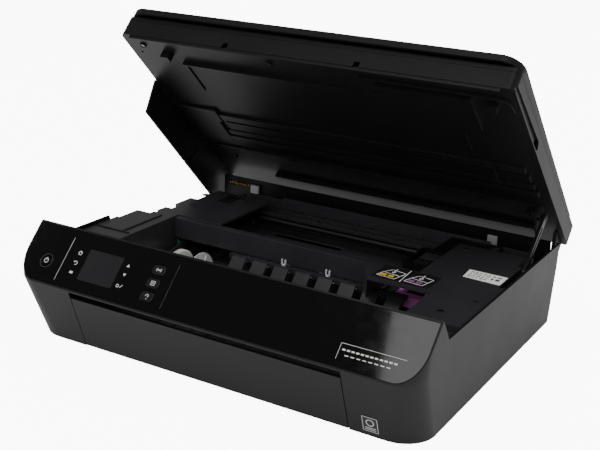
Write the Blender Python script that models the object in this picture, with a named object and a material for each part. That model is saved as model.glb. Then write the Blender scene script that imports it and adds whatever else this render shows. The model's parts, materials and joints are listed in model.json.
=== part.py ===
"""All-in-one inkjet printer with its scanner unit propped open.

Every shape is drawn in millimetres in one design frame and turned to metres when its mesh is made:
X to the right, Y to the back, Z up, with the zero at the middle of the base's footprint on the table.
Pieces of the scanner unit are drawn closed, and the empty on the lid's hinge swings them open.
"""

import math

import bmesh
import bpy
from mathutils import Matrix, Vector

MM = 0.001
GAP = 0.3

# Casing.
HALF_WIDTH = 220.5
BASE_HALF_WIDTH = 216.5
FRONT_FOOT_Y = -156.5
FRONT_Y = -182.0
REAR_Y = 182.0
RIM_Z = 93.0
WALL = 2.5
CORNER = 25.0
FOOT_CORNER = 32.0
REAR_CORNER = 3.0

# Sloping control panel, as its lower and upper edges.
PANEL_LOW_Z = 68.2
PANEL_TOP_Y = -137.5
PANEL_TOP_Z = 115.1
SHOULDER_Y = -122.0
PANEL_SLOPE = math.atan2(PANEL_TOP_Z - PANEL_LOW_Z, PANEL_TOP_Y - FRONT_Y)
PANEL_LENGTH = math.hypot(PANEL_TOP_Z - PANEL_LOW_Z, PANEL_TOP_Y - FRONT_Y)
OVERLAY = 1.6
KEY_TRAVEL = 0.8

# Scanner unit, drawn closed.
HINGE_Y = 180.0
HINGE_Z = 59.5
LID_OPEN = math.radians(43.0)
LID_FRONT_Y = -120.2
LID_REAR_Y = 181.6
LID_FLOOR_Z = 94.5
LID_SEAM_Z = 112.3
LID_TOP_Z = 117.3
LID_HALF_FRONT = 218.0
LID_HALF_REAR = 221.5
COVER_HINGE_Y = 178.6
COVER_HINGE_Z = 121.6
COVER_HALF = 217.5
COVER_FRONT_Y = -126.5
COVER_Z = (118.0, 124.7)

# Front door, on the sloping lower front.
DOOR_HALF = 148.2
OPENING_HALF = 149.0
DOOR_TOP_Z = 59.6
DOOR_THICK = 2.8
FRONT_LEAN = math.atan2(FRONT_FOOT_Y - FRONT_Y, PANEL_LOW_Z)
DOOR_AXIS_UP = 4.6
DOOR_AXIS_IN = 5.5
DOOR_AXIS_Y = FRONT_FOOT_Y - DOOR_AXIS_UP * math.sin(FRONT_LEAN) + DOOR_AXIS_IN * math.cos(FRONT_LEAN)
DOOR_AXIS_Z = DOOR_AXIS_UP * math.cos(FRONT_LEAN) + DOOR_AXIS_IN * math.sin(FRONT_LEAN)

# Paper drive: the two rollers and the gears that join them, all of module 1.
DRIVE_GEAR_R = 24.0
IDLER_GEAR_R = 32.0
PINION_R = 6.0
OUT_Y, OUT_Z = -4.0, 34.0
FEED_Y = 107.2
FEED_Z = OUT_Z + math.sqrt((2 * DRIVE_GEAR_R + 2 * IDLER_GEAR_R) ** 2 - (FEED_Y - OUT_Y) ** 2)
IDLER_Y = (OUT_Y + FEED_Y) / 2
IDLER_Z = (OUT_Z + FEED_Z) / 2
PINION_ANGLE = math.radians(-35.7)
PINION_Y = IDLER_Y + (IDLER_GEAR_R + PINION_R) * math.cos(PINION_ANGLE)
PINION_Z = IDLER_Z + (IDLER_GEAR_R + PINION_R) * math.sin(PINION_ANGLE)
TRAIN_ANGLE = math.atan2(FEED_Z - OUT_Z, FEED_Y - OUT_Y)
GEAR_X = (-150.0, -144.0)

# Frames and the carriage's path.
LEFT_FRAME_X = (-162.0, -159.0)
RIGHT_FRAME_X = (199.5, 202.5)
CARRIAGE_X = (97.0, 179.0)
ROD_Y, ROD_Z, ROD_R = 104.0, 76.0, 4.0
BELT_Y, BELT_Z = 126.0, 77.0
PULLEY_R = 6.5
PULLEY_X = (-135.0, 188.0)

# Prop arm, closed: it hangs from the lid and its foot runs in a slot of the right deck.
PROP_X = (209.3, 212.7)
PROP_Y, PROP_Z = 105.0, 86.4
PROP_LENGTH = 68.0
PROP_OPEN_ANGLE = math.radians(-94.9)

TRAY_HALF = 117.0

PLASTIC = {
    "casing": ((0.028, 0.028, 0.030), 0.55, 0.0),
    "panel": ((0.005, 0.005, 0.005), 0.10, 0.0),
    "screen": ((0.045, 0.045, 0.050), 0.22, 0.0),
    "inner": ((0.018, 0.018, 0.020), 0.50, 0.0),
    "black": ((0.008, 0.008, 0.009), 0.40, 0.0),
    "rubber": ((0.012, 0.012, 0.012), 0.85, 0.0),
    "steel": ((0.60, 0.60, 0.62), 0.30, 1.0),
    "brass": ((0.62, 0.46, 0.16), 0.35, 1.0),
    "white": ((0.75, 0.75, 0.74), 0.45, 0.0),
    "grey": ((0.32, 0.33, 0.34), 0.50, 0.0),
    "magenta": ((0.62, 0.12, 0.42), 0.45, 0.0),
    "board": ((0.02, 0.11, 0.05), 0.50, 0.0),
    "glass": ((0.55, 0.60, 0.60), 0.05, 0.0),
}


def clear_scene():
    for stale in list(bpy.data.objects):
        bpy.data.objects.remove(stale, do_unlink=True)


def collection(name):
    made = bpy.data.collections.new(name)
    bpy.context.scene.collection.children.link(made)
    return made


def material(name):
    """The Principled material of one finish, made once."""
    found = bpy.data.materials.get(name)
    if found:
        return found
    colour, roughness, metallic = PLASTIC[name]
    made = bpy.data.materials.new(name)
    made.use_nodes = True
    shader = made.node_tree.nodes["Principled BSDF"]
    shader.inputs["Base Color"].default_value = (*colour, 1.0)
    shader.inputs["Roughness"].default_value = roughness
    shader.inputs["Metallic"].default_value = metallic
    return made


# ---- shapes, each a bmesh in millimetres of the design frame ----


def box(x, y, z):
    """A box from its (low, high) pairs."""
    made = bmesh.new()
    bmesh.ops.create_cube(made, size=1.0)
    size = Vector((x[1] - x[0], y[1] - y[0], z[1] - z[0]))
    middle = Vector((x[0] + x[1], y[0] + y[1], z[0] + z[1])) / 2
    bmesh.ops.scale(made, vec=size, verts=made.verts)
    bmesh.ops.translate(made, vec=middle, verts=made.verts)
    return made


ALONG = {
    "X": Matrix.Rotation(math.pi / 2, 4, "Y"),
    "Y": Matrix.Rotation(-math.pi / 2, 4, "X"),
    "Z": Matrix.Identity(4),
}


def rod(axis, span, at, radius, sides=20, top_radius=None):
    """A cylinder along an axis; at is its centre on the two other axes, in X, Y, Z order."""
    made = bmesh.new()
    end = radius if top_radius is None else top_radius
    bmesh.ops.create_cone(
        made, cap_ends=True, segments=sides, radius1=radius, radius2=end, depth=span[1] - span[0]
    )
    bmesh.ops.transform(made, matrix=ALONG[axis], verts=made.verts)
    middle = list(at)
    middle.insert("XYZ".index(axis), (span[0] + span[1]) / 2)
    bmesh.ops.translate(made, vec=middle, verts=made.verts)
    return made


def plate(axis, outline, span):
    """A flat outline, drawn on the two other axes in X, Y, Z order, thickened along the axis."""
    made = bmesh.new()
    order = "XYZ".index(axis)
    corners = []
    for first, second in outline:
        point = [first, second]
        point.insert(order, span[0])
        corners.append(made.verts.new(point))
    face = made.faces.new(corners)
    grown = bmesh.ops.extrude_face_region(made, geom=[face])["geom"]
    step = Vector([span[1] - span[0] if i == order else 0.0 for i in range(3)])
    bmesh.ops.translate(made, vec=step, verts=[v for v in grown if isinstance(v, bmesh.types.BMVert)])
    bmesh.ops.recalc_face_normals(made, faces=made.faces)
    return made


def arc(centre, radius, start, end, steps, squash=1.0):
    """Points of an arc from start to end, in degrees, both ends included."""
    points = []
    for i in range(steps + 1):
        angle = math.radians(start + (end - start) * i / steps)
        points.append((centre[0] + radius * math.cos(angle), centre[1] + squash * radius * math.sin(angle)))
    return points


def plan(half_front, half_rear, front, rear, corner, rear_corner, steps=6):
    """A plan outline with rounded front corners and nearly crisp rear ones."""
    outline = arc((-half_front + corner, front + corner), corner, 180, 270, steps)
    outline += arc((half_front - corner, front + corner), corner, 270, 360, steps)
    outline += arc((half_rear - rear_corner, rear - rear_corner), rear_corner, 0, 90, 2)
    outline += arc((-half_rear + rear_corner, rear - rear_corner), rear_corner, 90, 180, 2)
    return outline


def loft(sections):
    """A closed body through plan outlines of equal length, given as (z, outline)."""
    made = bmesh.new()
    rings = [[made.verts.new((x, y, z)) for x, y in outline] for z, outline in sections]
    made.faces.new(reversed(rings[0]))
    made.faces.new(rings[-1])
    for lower, upper in zip(rings, rings[1:]):
        for i in range(len(lower)):
            j = (i + 1) % len(lower)
            made.faces.new((lower[i], lower[j], upper[j], upper[i]))
    bmesh.ops.recalc_face_normals(made, faces=made.faces)
    return made


def rounded(half_x, half_y, radius, centre=(0.0, 0.0), steps=4):
    """A rounded rectangle."""
    x, y = centre
    outline = []
    for sx, sy, start in ((1, -1, 270), (1, 1, 0), (-1, 1, 90), (-1, -1, 180)):
        corner = (x + sx * (half_x - radius), y + sy * (half_y - radius))
        outline += arc(corner, radius, start, start + 90, steps)
    return outline


def gear(span, at, radius, teeth, phase):
    """A spur gear along X with module 1 teeth, one of them centred on the phase in degrees."""
    outline = []
    for i in range(teeth):
        middle = phase + 360.0 * i / teeth
        for offset, height in ((-0.34, -1.2), (-0.14, 0.85), (0.14, 0.85), (0.34, -1.2)):
            angle = math.radians(middle + offset * 360.0 / teeth)
            r = radius + height
            outline.append((at[0] + r * math.cos(angle), at[1] + r * math.sin(angle)))
    return plate("X", outline, span)


def turned(profile, at, sides=16):
    """A turned body along X from (x, radius) pairs: a stack of rings, closed at both ends."""
    made = bmesh.new()
    rings = []
    for x, radius in profile:
        rings.append(
            [
                made.verts.new((x, at[0] + radius * math.cos(a), at[1] + radius * math.sin(a)))
                for a in (2 * math.pi * k / sides for k in range(sides))
            ]
        )
    made.faces.new(rings[0])
    made.faces.new(reversed(rings[-1]))
    for first, second in zip(rings, rings[1:]):
        for i in range(sides):
            j = (i + 1) % sides
            made.faces.new((first[i], first[j], second[j], second[i]))
    bmesh.ops.recalc_face_normals(made, faces=made.faces)
    return made


def tyred_shaft(span, shaft_r, tyre_r, tyres, half_tyre):
    """Profile of a shaft with tyres at the given places."""
    profile = [(span[0], shaft_r)]
    for x in tyres:
        profile += [
            (x - half_tyre - 0.2, shaft_r),
            (x - half_tyre, tyre_r),
            (x + half_tyre, tyre_r),
            (x + half_tyre + 0.2, shaft_r),
        ]
    return profile + [(span[1], shaft_r)]


def coil(span, at, radius, wire, turns, steps=9):
    """A coil spring along X, as a bevelled curve made a mesh."""
    curve = bpy.data.curves.new("coil", "CURVE")
    curve.dimensions = "3D"
    curve.bevel_depth = wire
    curve.bevel_resolution = 1
    curve.use_fill_caps = True
    count = turns * steps + 1
    spline = curve.splines.new("POLY")
    spline.points.add(count - 1)
    for i, point in enumerate(spline.points):
        angle = 2 * math.pi * i / steps
        x = span[0] + (span[1] - span[0]) * i / (count - 1)
        point.co = (x, at[0] + radius * math.cos(angle), at[1] + radius * math.sin(angle), 1.0)
    holder = bpy.data.objects.new("coil", curve)
    bpy.context.scene.collection.objects.link(holder)
    graph = bpy.context.evaluated_depsgraph_get()
    mesh = bpy.data.meshes.new_from_object(holder.evaluated_get(graph))
    made = bmesh.new()
    made.from_mesh(mesh)
    bmesh.ops.remove_doubles(made, verts=made.verts, dist=1e-4)
    bpy.data.objects.remove(holder)
    return made


def merged(shapes):
    """Several separate shapes in one bmesh."""
    made = bmesh.new()
    for shape in shapes:
        mesh = bpy.data.meshes.new("merged")
        shape.to_mesh(mesh)
        shape.free()
        made.from_mesh(mesh)
        bpy.data.meshes.remove(mesh)
    return made


# ---- objects ----


class Builder:
    """Makes the printer's objects under the empties that carry them."""

    def __init__(self):
        self.parts = collection("inkjet_printer")
        self.cutters = collection("cutters")
        self.pivots = {}
        self.empties = {}

    def carrier(self, name, pivot=(0.0, 0.0, 0.0), parent=None, turn=0.0):
        """An empty at a design-frame point, turned about X; pieces hang from it."""
        empty = bpy.data.objects.new(name, None)
        empty.empty_display_size = 0.02
        self.parts.objects.link(empty)
        place = Vector(pivot)
        if parent:
            empty.parent = self.empties[parent]
            place = place - self.pivots[parent]
        empty.location = place * MM
        empty.rotation_euler = (turn, 0.0, 0.0)
        self.pivots[name] = Vector(pivot)
        self.empties[name] = empty

    def raw(self, name, shape, carrier, where):
        """An object of a shape, drawn in the design frame, hung from its carrier."""
        pivot = self.pivots[carrier]
        if carrier == "panel":
            pivot = Vector((0.0, 0.0, 0.0))
        bmesh.ops.translate(shape, vec=-pivot, verts=shape.verts)
        bmesh.ops.scale(shape, vec=(MM, MM, MM), verts=shape.verts)
        mesh = bpy.data.meshes.new(name)
        shape.to_mesh(mesh)
        shape.free()
        made = bpy.data.objects.new(name, mesh)
        where.objects.link(made)
        made.parent = self.empties[carrier]
        return made

    def cutter(self, name, shape, carrier="printer"):
        """A hidden object that a Boolean works with."""
        tool = self.raw(name, shape, carrier, self.cutters)
        tool.hide_render = True
        tool.display_type = "WIRE"
        return tool

    def add(self, name, shape, finish, carrier="printer", cuts=(), joins=(), keeps=(), smooth=False):
        """One piece: joins are fused to it, keeps bound it and cuts are taken out of it.

        A shape may be given with its own carrier, as (shape, carrier)."""
        piece = self.raw(name, shape, carrier, self.parts)
        piece.data.materials.append(material(finish))
        steps = [("UNION", extra) for extra in joins]
        steps += [("INTERSECT", extra) for extra in keeps]
        steps += [("DIFFERENCE", extra) for extra in cuts]
        for number, (operation, extra) in enumerate(steps):
            tool_shape, tool_carrier = extra if isinstance(extra, tuple) else (extra, carrier)
            tool = self.cutter(f"{name}_tool_{number}", tool_shape, tool_carrier)
            boolean = piece.modifiers.new(f"{operation.lower()}_{number}", "BOOLEAN")
            boolean.operation = operation
            boolean.object = tool
            boolean.solver = "EXACT"
            boolean.use_self = operation == "UNION"
        if smooth:
            piece.data.shade_smooth()
            piece.data.set_sharp_from_angle(angle=math.radians(35.0))
        return piece


# ---- casing and feet ----


def side_profile(inset, low):
    """The body seen from the side, as (y, z) points, moved inwards by inset."""
    i = inset
    return [
        (FRONT_FOOT_Y + 1.07 * i - 0.374 * low, low),
        (FRONT_Y + 1.07 * i + 0.1 * i, PANEL_LOW_Z + 0.25 * i),
        (PANEL_TOP_Y - 0.3 * i, PANEL_TOP_Z - 1.5 * i),
    ]


def body_sections(inset, low):
    """Plan outlines of the body from its foot up, moved inwards by inset."""
    i = inset
    lean = (FRONT_FOOT_Y - FRONT_Y) / PANEL_LOW_Z
    foot = plan(
        BASE_HALF_WIDTH - i,
        BASE_HALF_WIDTH + 0.5 - i,
        FRONT_FOOT_Y - lean * low + i,
        REAR_Y - i,
        FOOT_CORNER - i,
        REAR_CORNER,
    )
    waist = plan(
        HALF_WIDTH - 0.5 - i, HALF_WIDTH - 0.5 - i, FRONT_Y + i, REAR_Y - i, CORNER - i, REAR_CORNER
    )
    top = plan(HALF_WIDTH - i, HALF_WIDTH - i, FRONT_Y + i, REAR_Y - i, CORNER - i, REAR_CORNER)
    return [(low, foot), (PANEL_LOW_Z, waist), (125.0, top)]


def overlay_outline(inset):
    """The glossy overlay on the panel's own axes, with sweeping lower corners."""
    half = HALF_WIDTH - 2.4 - inset
    low, high = 2.2 + inset, PANEL_LENGTH - 2.4 - inset
    stretch = PANEL_LENGTH / (PANEL_TOP_Y - FRONT_Y)
    radius = CORNER - 2.4
    left = arc((-half + radius, low + radius * stretch), radius, 180, 270, 7, stretch)
    right = arc((half - radius, low + radius * stretch), radius, 270, 360, 7, stretch)
    return left + right + [(half, high), (-half, high)]


POWER_AT = (-190.3, 24.0)
KEYS_AT = {"wireless_key": (-61.8, 44.0), "web_print_key": (-61.8, 30.0), "help_key": (-61.8, 16.0)}
SCREEN_AT = (-125.6, 30.4)
SCREEN_HALF = (20.6, 16.6)


def panel_holes(extra, depth):
    """Holes for the buttons, through the panel."""
    holes = [rod("Z", depth, POWER_AT, 6.2 + extra, 24)]
    for place in KEYS_AT.values():
        holes.append(plate("Z", rounded(7.2 + extra, 5.4 + extra, 3.0, place), depth))
    return merged(holes)


def casing(make):
    """Side and rear walls, front corners and the beam behind the control panel, in one moulding."""
    outer = side_profile(0.0, 1.5) + [(SHOULDER_Y, RIM_Z), (REAR_Y + 5, RIM_Z), (REAR_Y + 5, 1.5)]
    inner = side_profile(WALL, -5.0) + [
        (SHOULDER_Y - 3.1, RIM_Z - 1.0),
        (SHOULDER_Y - 3.1, 80.0),
        (SHOULDER_Y, 80.0),
        (SHOULDER_Y, 140.0),
        (REAR_Y - WALL, 140.0),
        (REAR_Y - WALL, -5.0),
    ]
    hollow = make.cutter("casing_hollow", plate("X", inner, (-300.0, 300.0)))
    both = hollow.modifiers.new("plan", "BOOLEAN")
    both.operation = "INTERSECT"
    both.object = make.cutter("casing_hollow_plan", loft(body_sections(WALL, -5.0)))
    door_gap = box((-OPENING_HALF, OPENING_HALF), (-220.0, -150.0), (-5.0, PANEL_LOW_Z - 1.6))
    skirt_room = plate(
        "X", [(-36.0, 150.0), (-36.0, 92.0), (-25.0, 56.0), (190.0, 50.5), (190.0, 150.0)], (-240.0, -212.0)
    )
    corner_notches = merged(
        [
            box((-217.9, -203.2), (176.0, 200.0), (50.5, 68.5)),
            box((203.2, 217.2), (176.0, 200.0), (50.5, 68.5)),
        ]
    )
    arm_slot = box((209.9, 215.6), (176.0, 200.0), (60.0, 150.0))
    ports = merged(
        [
            box((119.6, 145.4), (170.0, 200.0), (19.6, 37.4)),
            box((-150.4, -135.6), (170.0, 200.0), (19.6, 32.4)),
        ]
    )
    recess = plate("Z", overlay_outline(-0.4), (-OVERLAY - GAP, 8.0))
    holes = panel_holes(0.5, (-12.0, 8.0))
    piece = make.add(
        "outer_casing",
        loft(body_sections(0.0, 1.5)),
        "casing",
        keeps=[plate("X", outer, (-300.0, 300.0))],
    )
    cut = piece.modifiers.new("hollow", "BOOLEAN")
    cut.operation = "DIFFERENCE"
    cut.object = hollow
    for number, (shape, carrier) in enumerate(
        (
            (door_gap, "printer"),
            (skirt_room, "printer"),
            (corner_notches, "printer"),
            (arm_slot, "printer"),
            (ports, "printer"),
            (recess, "panel"),
            (holes, "panel"),
        )
    ):
        cut = piece.modifiers.new(f"cut_{number}", "BOOLEAN")
        cut.operation = "DIFFERENCE"
        cut.object = make.cutter(f"casing_cut_{number}", shape, carrier)


def base(make):
    """Floor pan with the hinge posts and the four rubber feet."""
    posts = []
    for side in (-1, 1):
        low = min(side * 203.8, side * 209.0)
        outline = [
            (160.0, 5.0), (178.9, 5.0), (178.9, 51.2), (186.6, 55.0),
            (186.6, 64.0), (180.0, 67.0), (168.0, 60.0),
        ]
        posts.append(plate("X", outline, (low, low + 5.2)))
    pins = [
        rod("X", (208.5, 215.6), (HINGE_Y, HINGE_Z), 3.0, 16),
        rod("X", (-221.4, -208.5), (HINGE_Y, HINGE_Z), 3.0, 16),
    ]
    walls = [
        box((-213.4, -211.4), (-120.0, 178.9), (5.0, 14.0)),
        box((211.4, 213.4), (-120.0, 178.9), (5.0, 14.0)),
        box((-211.5, 211.5), (176.9, 178.9), (5.0, 14.0)),
    ]
    floor = plate(
        "Z",
        [
            (-213.4, -118.0), (-180.0, -146.0), (180.0, -146.0),
            (213.4, -118.0), (213.4, 178.9), (-213.4, 178.9),
        ],
        (3.0, 5.5),
    )
    make.add("base_pan", floor, "inner", joins=[merged(posts), merged(pins), merged(walls)])
    for name, x, y in (
        ("foot_front_left", -165.0, -118.0),
        ("foot_front_right", 165.0, -118.0),
        ("foot_rear_left", -185.0, 150.0),
        ("foot_rear_right", 185.0, 150.0),
    ):
        make.add(name, rod("Z", (0.0, 2.7), (x, y), 9.0, 20, 8.0), "rubber", smooth=True)


# ---- control panel ----


def control_panel(make):
    """Glossy overlay, colour screen, power button and three keys."""
    overlay_holes = panel_holes(0.4, (-8.0, 8.0))
    screen_hole = plate(
        "Z", rounded(SCREEN_HALF[0] + GAP, SCREEN_HALF[1] + GAP, 1.2, SCREEN_AT, 2), (-8.0, 8.0)
    )
    make.add(
        "panel_overlay",
        plate("Z", overlay_outline(0.0), (-OVERLAY, 0.0)),
        "panel",
        "panel",
        cuts=[overlay_holes, screen_hole],
    )
    make.add(
        "display_window",
        plate("Z", rounded(SCREEN_HALF[0], SCREEN_HALF[1], 0.9, SCREEN_AT, 2), (-OVERLAY, -0.1)),
        "screen",
        "panel",
    )
    make.add("power_button", rod("Z", (-6.0, 0.4), POWER_AT, 5.7, 24), "panel", "panel", smooth=True)
    for name, place in KEYS_AT.items():
        make.add(name, plate("Z", rounded(6.8, 5.0, 2.6, place), (-6.0, 0.5)), "casing", "panel")


# ---- fixed interior ----


def decks(make):
    """Left and right decks and the beam over the paper path, as seen under the open lid."""
    left = [
        (-216.3, -116.0), (-166.0, -116.0), (-166.0, 20.5), (-110.0, 20.5), (-110.0, 124.0),
        (-183.0, 124.0), (-183.0, 80.0), (-193.0, 80.0), (-193.0, 50.0), (-186.0, 48.0),
        (-186.0, 34.0), (-195.0, 34.0), (-195.0, 6.0), (-213.0, 6.0), (-213.0, -26.0), (-216.3, -26.0),
    ]
    hollow = [
        (-214.0, -81.6), (-168.2, -81.6), (-168.2, 18.0), (-168.2, 122.0), (-180.6, 122.0),
        (-180.6, 77.5), (-190.6, 77.5), (-190.6, 51.5), (-183.6, 50.0), (-183.6, 31.6), (-192.6, 31.6),
        (-192.6, 3.6), (-210.6, 3.6), (-210.6, -28.4), (-214.0, -28.4),
    ]
    make.add(
        "left_deck",
        plate("Z", left, (52.0, 90.0)),
        "casing",
        cuts=[
            plate("Z", hollow, (40.0, 87.3)),
            box((-168.3, -105.0), (18.2, 130.0), (40.0, 87.3)),
            box((-214.0, -168.2), (-113.8, -86.2), (40.0, 79.8)),
            box((-230.0, -150.0), (-120.0, -84.0), (82.0, 100.0)),
            box((-199.0, -192.0), (13.0, 19.0), (83.0, 100.0)),
        ],
    )
    beam = [(-165.6, 12.0), (68.0, 12.0), (91.6, -22.0), (91.6, 20.2), (-165.6, 20.2)]
    beam_hollow = [(-180.0, 14.2), (69.2, 14.2), (89.4, -15.0), (89.4, 30.0), (-180.0, 30.0)]
    make.add(
        "paper_path_cover",
        plate("Z", beam, (66.0, 89.0)),
        "inner",
        cuts=[plate("Z", beam_hollow, (50.0, 86.8))],
    )
    right = [
        (92.0, -24.0), (160.0, -24.0), (160.0, -116.0), (217.0, -116.0), (217.0, 125.0),
        (128.0, 125.0), (128.0, 20.2), (92.0, 20.2),
    ]
    make.add(
        "right_deck",
        plate("Z", right, (76.0, 89.0)),
        "black",
        cuts=[
            plate(
                "Z",
                [
                    (80.0, -21.8), (162.2, -21.8), (162.2, -81.8),
                    (230.0, -81.8), (230.0, 140.0), (80.0, 140.0),
                ],
                (70.0, 86.6),
            ),
            box((90.0, 159.9), (-30.0, -21.7), (70.0, 86.4)),
            box((162.2, 214.8), (-113.8, -86.2), (70.0, 80.4)),
            box((203.2, 208.2), (95.0, 120.0), (70.0, 100.0)),
            box((207.9, 214.1), (28.0, 140.0), (70.0, 100.0)),
            rod("Z", (70.0, 100.0), (203.5, -19.0), 3.2, 12),
            box((150.0, 214.5), (-130.0, -84.0), (82.6, 100.0)),
        ],
    )
    for name, x in (("left_stop_tab", -164.5), ("right_stop_tab", 146.0)):
        make.add(name, box((x - 5.6, x + 5.6), (174.0, 177.4), (62.0, 88.0)), "grey")


def frames(make):
    """Side frames, carriage rail, platen and the guide over the feed roller."""
    left = [(-28.0, 6.0), (150.0, 6.0), (150.0, 84.0), (22.0, 84.0), (22.0, 60.0), (-28.0, 50.0)]
    make.add("left_side_frame", plate("X", left, LEFT_FRAME_X), "inner",
             cuts=[rod("X", (-170.0, -150.0), (PINION_Y, PINION_Z), 3.0, 12)])
    right = [(-20.0, 6.0), (150.0, 6.0), (150.0, 84.0), (-16.0, 84.0), (-20.0, 60.0)]
    make.add("right_side_frame", plate("X", right, RIGHT_FRAME_X), "inner")
    rail = [
        (-158.6, 50.0), (199.0, 50.0), (199.0, 85.0), (152.0, 85.0),
        (152.0, 88.0), (-109.5, 88.0), (-109.5, 85.0), (-158.6, 85.0),
    ]
    make.add("carriage_rail", plate("Y", rail, (152.2, 154.6)), "inner",
             joins=[box((-150.0, 190.0), (154.0, 178.0), (50.0, 52.0))])
    make.add(
        "platen",
        box((-140.0, 112.0), (28.0, 92.0), (40.0, 42.5)),
        "black",
        joins=[merged([box((x, x + 2.0), (34.0, 76.0), (42.0, 44.2)) for x in range(-132, 108, 24)])],
    )
    guide = [(98.4, 51.0), (99.8, 51.0), (99.8, 56.6), (150.0, 56.6), (150.0, 58.6), (98.4, 58.6)]
    make.add(
        "roller_cover",
        plate("X", guide, (-142.0, 196.0)),
        "black",
        cuts=[box((-92.0, -5.0), (102.0, 112.4), (40.0, 70.0)),
              box((170.0, 200.0), (112.0, 145.0), (40.0, 70.0))],
        joins=[rod("Z", (58.0, 73.5), (PULLEY_X[0], BELT_Y), 2.2, 12)],
    )
    make.add("guide_rod", rod("X", (-158.7, 199.2), (ROD_Y, ROD_Z), ROD_R, 16), "steel", smooth=True)


STAR_X = (-74.0, -47.5, -21.0, 5.5, 32.0, 58.5, 85.0, 111.5)


def star_wheels(make):
    """Holder of the star wheels: a bar under the beam with a hanging plate and wheel for each tyre."""
    tabs = []
    wheels = []
    for x in STAR_X:
        tab = [(9.8, 61.0), (9.8, 64.5), (4.0, 64.5), (-8.5, 50.0), (-6.5, 46.5), (-1.0, 47.0)]
        tabs.append(plate("X", tab, (x - 8.5, x + 8.5)))
        wheels.append(rod("X", (x - 9.6, x + 9.6), (OUT_Y, 45.6), 4.3, 12))
    make.add(
        "star_wheel_bar",
        box((-88.0, 122.0), (6.0, 11.6), (60.0, 65.4)),
        "black",
        joins=[merged(tabs), merged(wheels)],
    )


def electrics(make):
    """Boards, motors, inlet and data port."""
    make.add("main_board", box((-211.0, -170.0), (-80.0, 120.0), (40.0, 41.6)), "board")
    make.add("feed_motor", rod("X", (-190.0, -162.4), (PINION_Y, PINION_Z), 12.0, 20), "steel", smooth=True,
             joins=[rod("X", (-163.0, -150.4), (PINION_Y, PINION_Z), 1.5, 10)])
    make.add("carriage_motor", rod("Z", (30.0, 66.0), (PULLEY_X[1], BELT_Y), 10.5, 20), "steel", smooth=True,
             joins=[rod("Z", (65.0, 73.5), (PULLEY_X[1], BELT_Y), 1.5, 10)])
    make.add("power_inlet", box((120.0, 145.0), (162.0, 181.8), (20.0, 37.0)), "black",
             cuts=[plate("Y", rounded(9.5, 5.0, 4.9, (132.5, 28.5), 3), (171.0, 190.0))])
    make.add("usb_port", box((-150.0, -136.0), (164.0, 181.8), (20.0, 32.0)), "steel",
             cuts=[box((-147.4, -138.6), (172.0, 190.0), (22.0, 30.0))])
    station = box((118.0, 178.0), (30.0, 84.0), (7.0, 38.0))
    caps = merged([box((x - 9.0, x + 9.0), (54.0, 78.0), (37.5, 43.6)) for x in (118.2 + 9.5, 157.7)])
    make.add("service_station", station, "inner", joins=[caps])
    make.add("hinge_spring", coil((-198.0, -173.0), (172.0, 87.6), 2.6, 0.55, 8), "brass", smooth=True)


# ---- paper drive ----


def paper_drive(make):
    """The output and feed rollers with their gears, the encoder disc and the motor's pinion."""
    out_shaft = tyred_shaft((-158.7, 122.0), 3.0, 6.5, STAR_X, 6.0)
    make.add("output_roller", turned(out_shaft, (OUT_Y, OUT_Z), 14), "rubber", "output_shaft", smooth=True)
    feed_shaft = [(-158.7, 4.0), (-142.0, 4.0), (-141.8, 7.0), (114.0, 7.0), (114.2, 4.0), (199.2, 4.0)]
    make.add("feed_roller", turned(feed_shaft, (FEED_Y, FEED_Z), 16), "steel", "feed_shaft", smooth=True)
    bore = 0.3
    train = math.degrees(TRAIN_ANGLE)
    idler_phase = train + 180.0 / 64
    ahead = (idler_phase - math.degrees(PINION_ANGLE)) % (360.0 / 64)
    pinion_phase = math.degrees(PINION_ANGLE) + 180.0 - ahead * IDLER_GEAR_R / PINION_R + 180.0 / 12
    make.add("output_gear", gear(GEAR_X, (OUT_Y, OUT_Z), DRIVE_GEAR_R, 48, train), "white", "output_shaft",
             cuts=[rod("X", (-170.0, -130.0), (OUT_Y, OUT_Z), 3.0 + bore, 14)])
    make.add("feed_gear", gear(GEAR_X, (FEED_Y, FEED_Z), DRIVE_GEAR_R, 48, train), "white", "feed_shaft",
             cuts=[rod("X", (-170.0, -130.0), (FEED_Y, FEED_Z), 4.0 + bore, 16)])
    idler = gear(GEAR_X, (IDLER_Y, IDLER_Z), IDLER_GEAR_R, 64, idler_phase)
    make.add("idler_gear", idler, "white", "idler_shaft",
             joins=[rod("X", (-158.7, -149.0), (IDLER_Y, IDLER_Z), 3.0, 12)])
    pinion = gear(GEAR_X, (PINION_Y, PINION_Z), PINION_R, 12, pinion_phase)
    make.add("motor_pinion", pinion, "brass", "pinion_shaft")
    make.add("encoder_disc", rod("X", (-120.6, -119.6), (OUT_Y, OUT_Z), 27.0, 40), "white", "output_shaft",
             cuts=[rod("X", (-170.0, -100.0), (OUT_Y, OUT_Z), 3.0 + bore, 14)], smooth=True)


# ---- carriage ----


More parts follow.
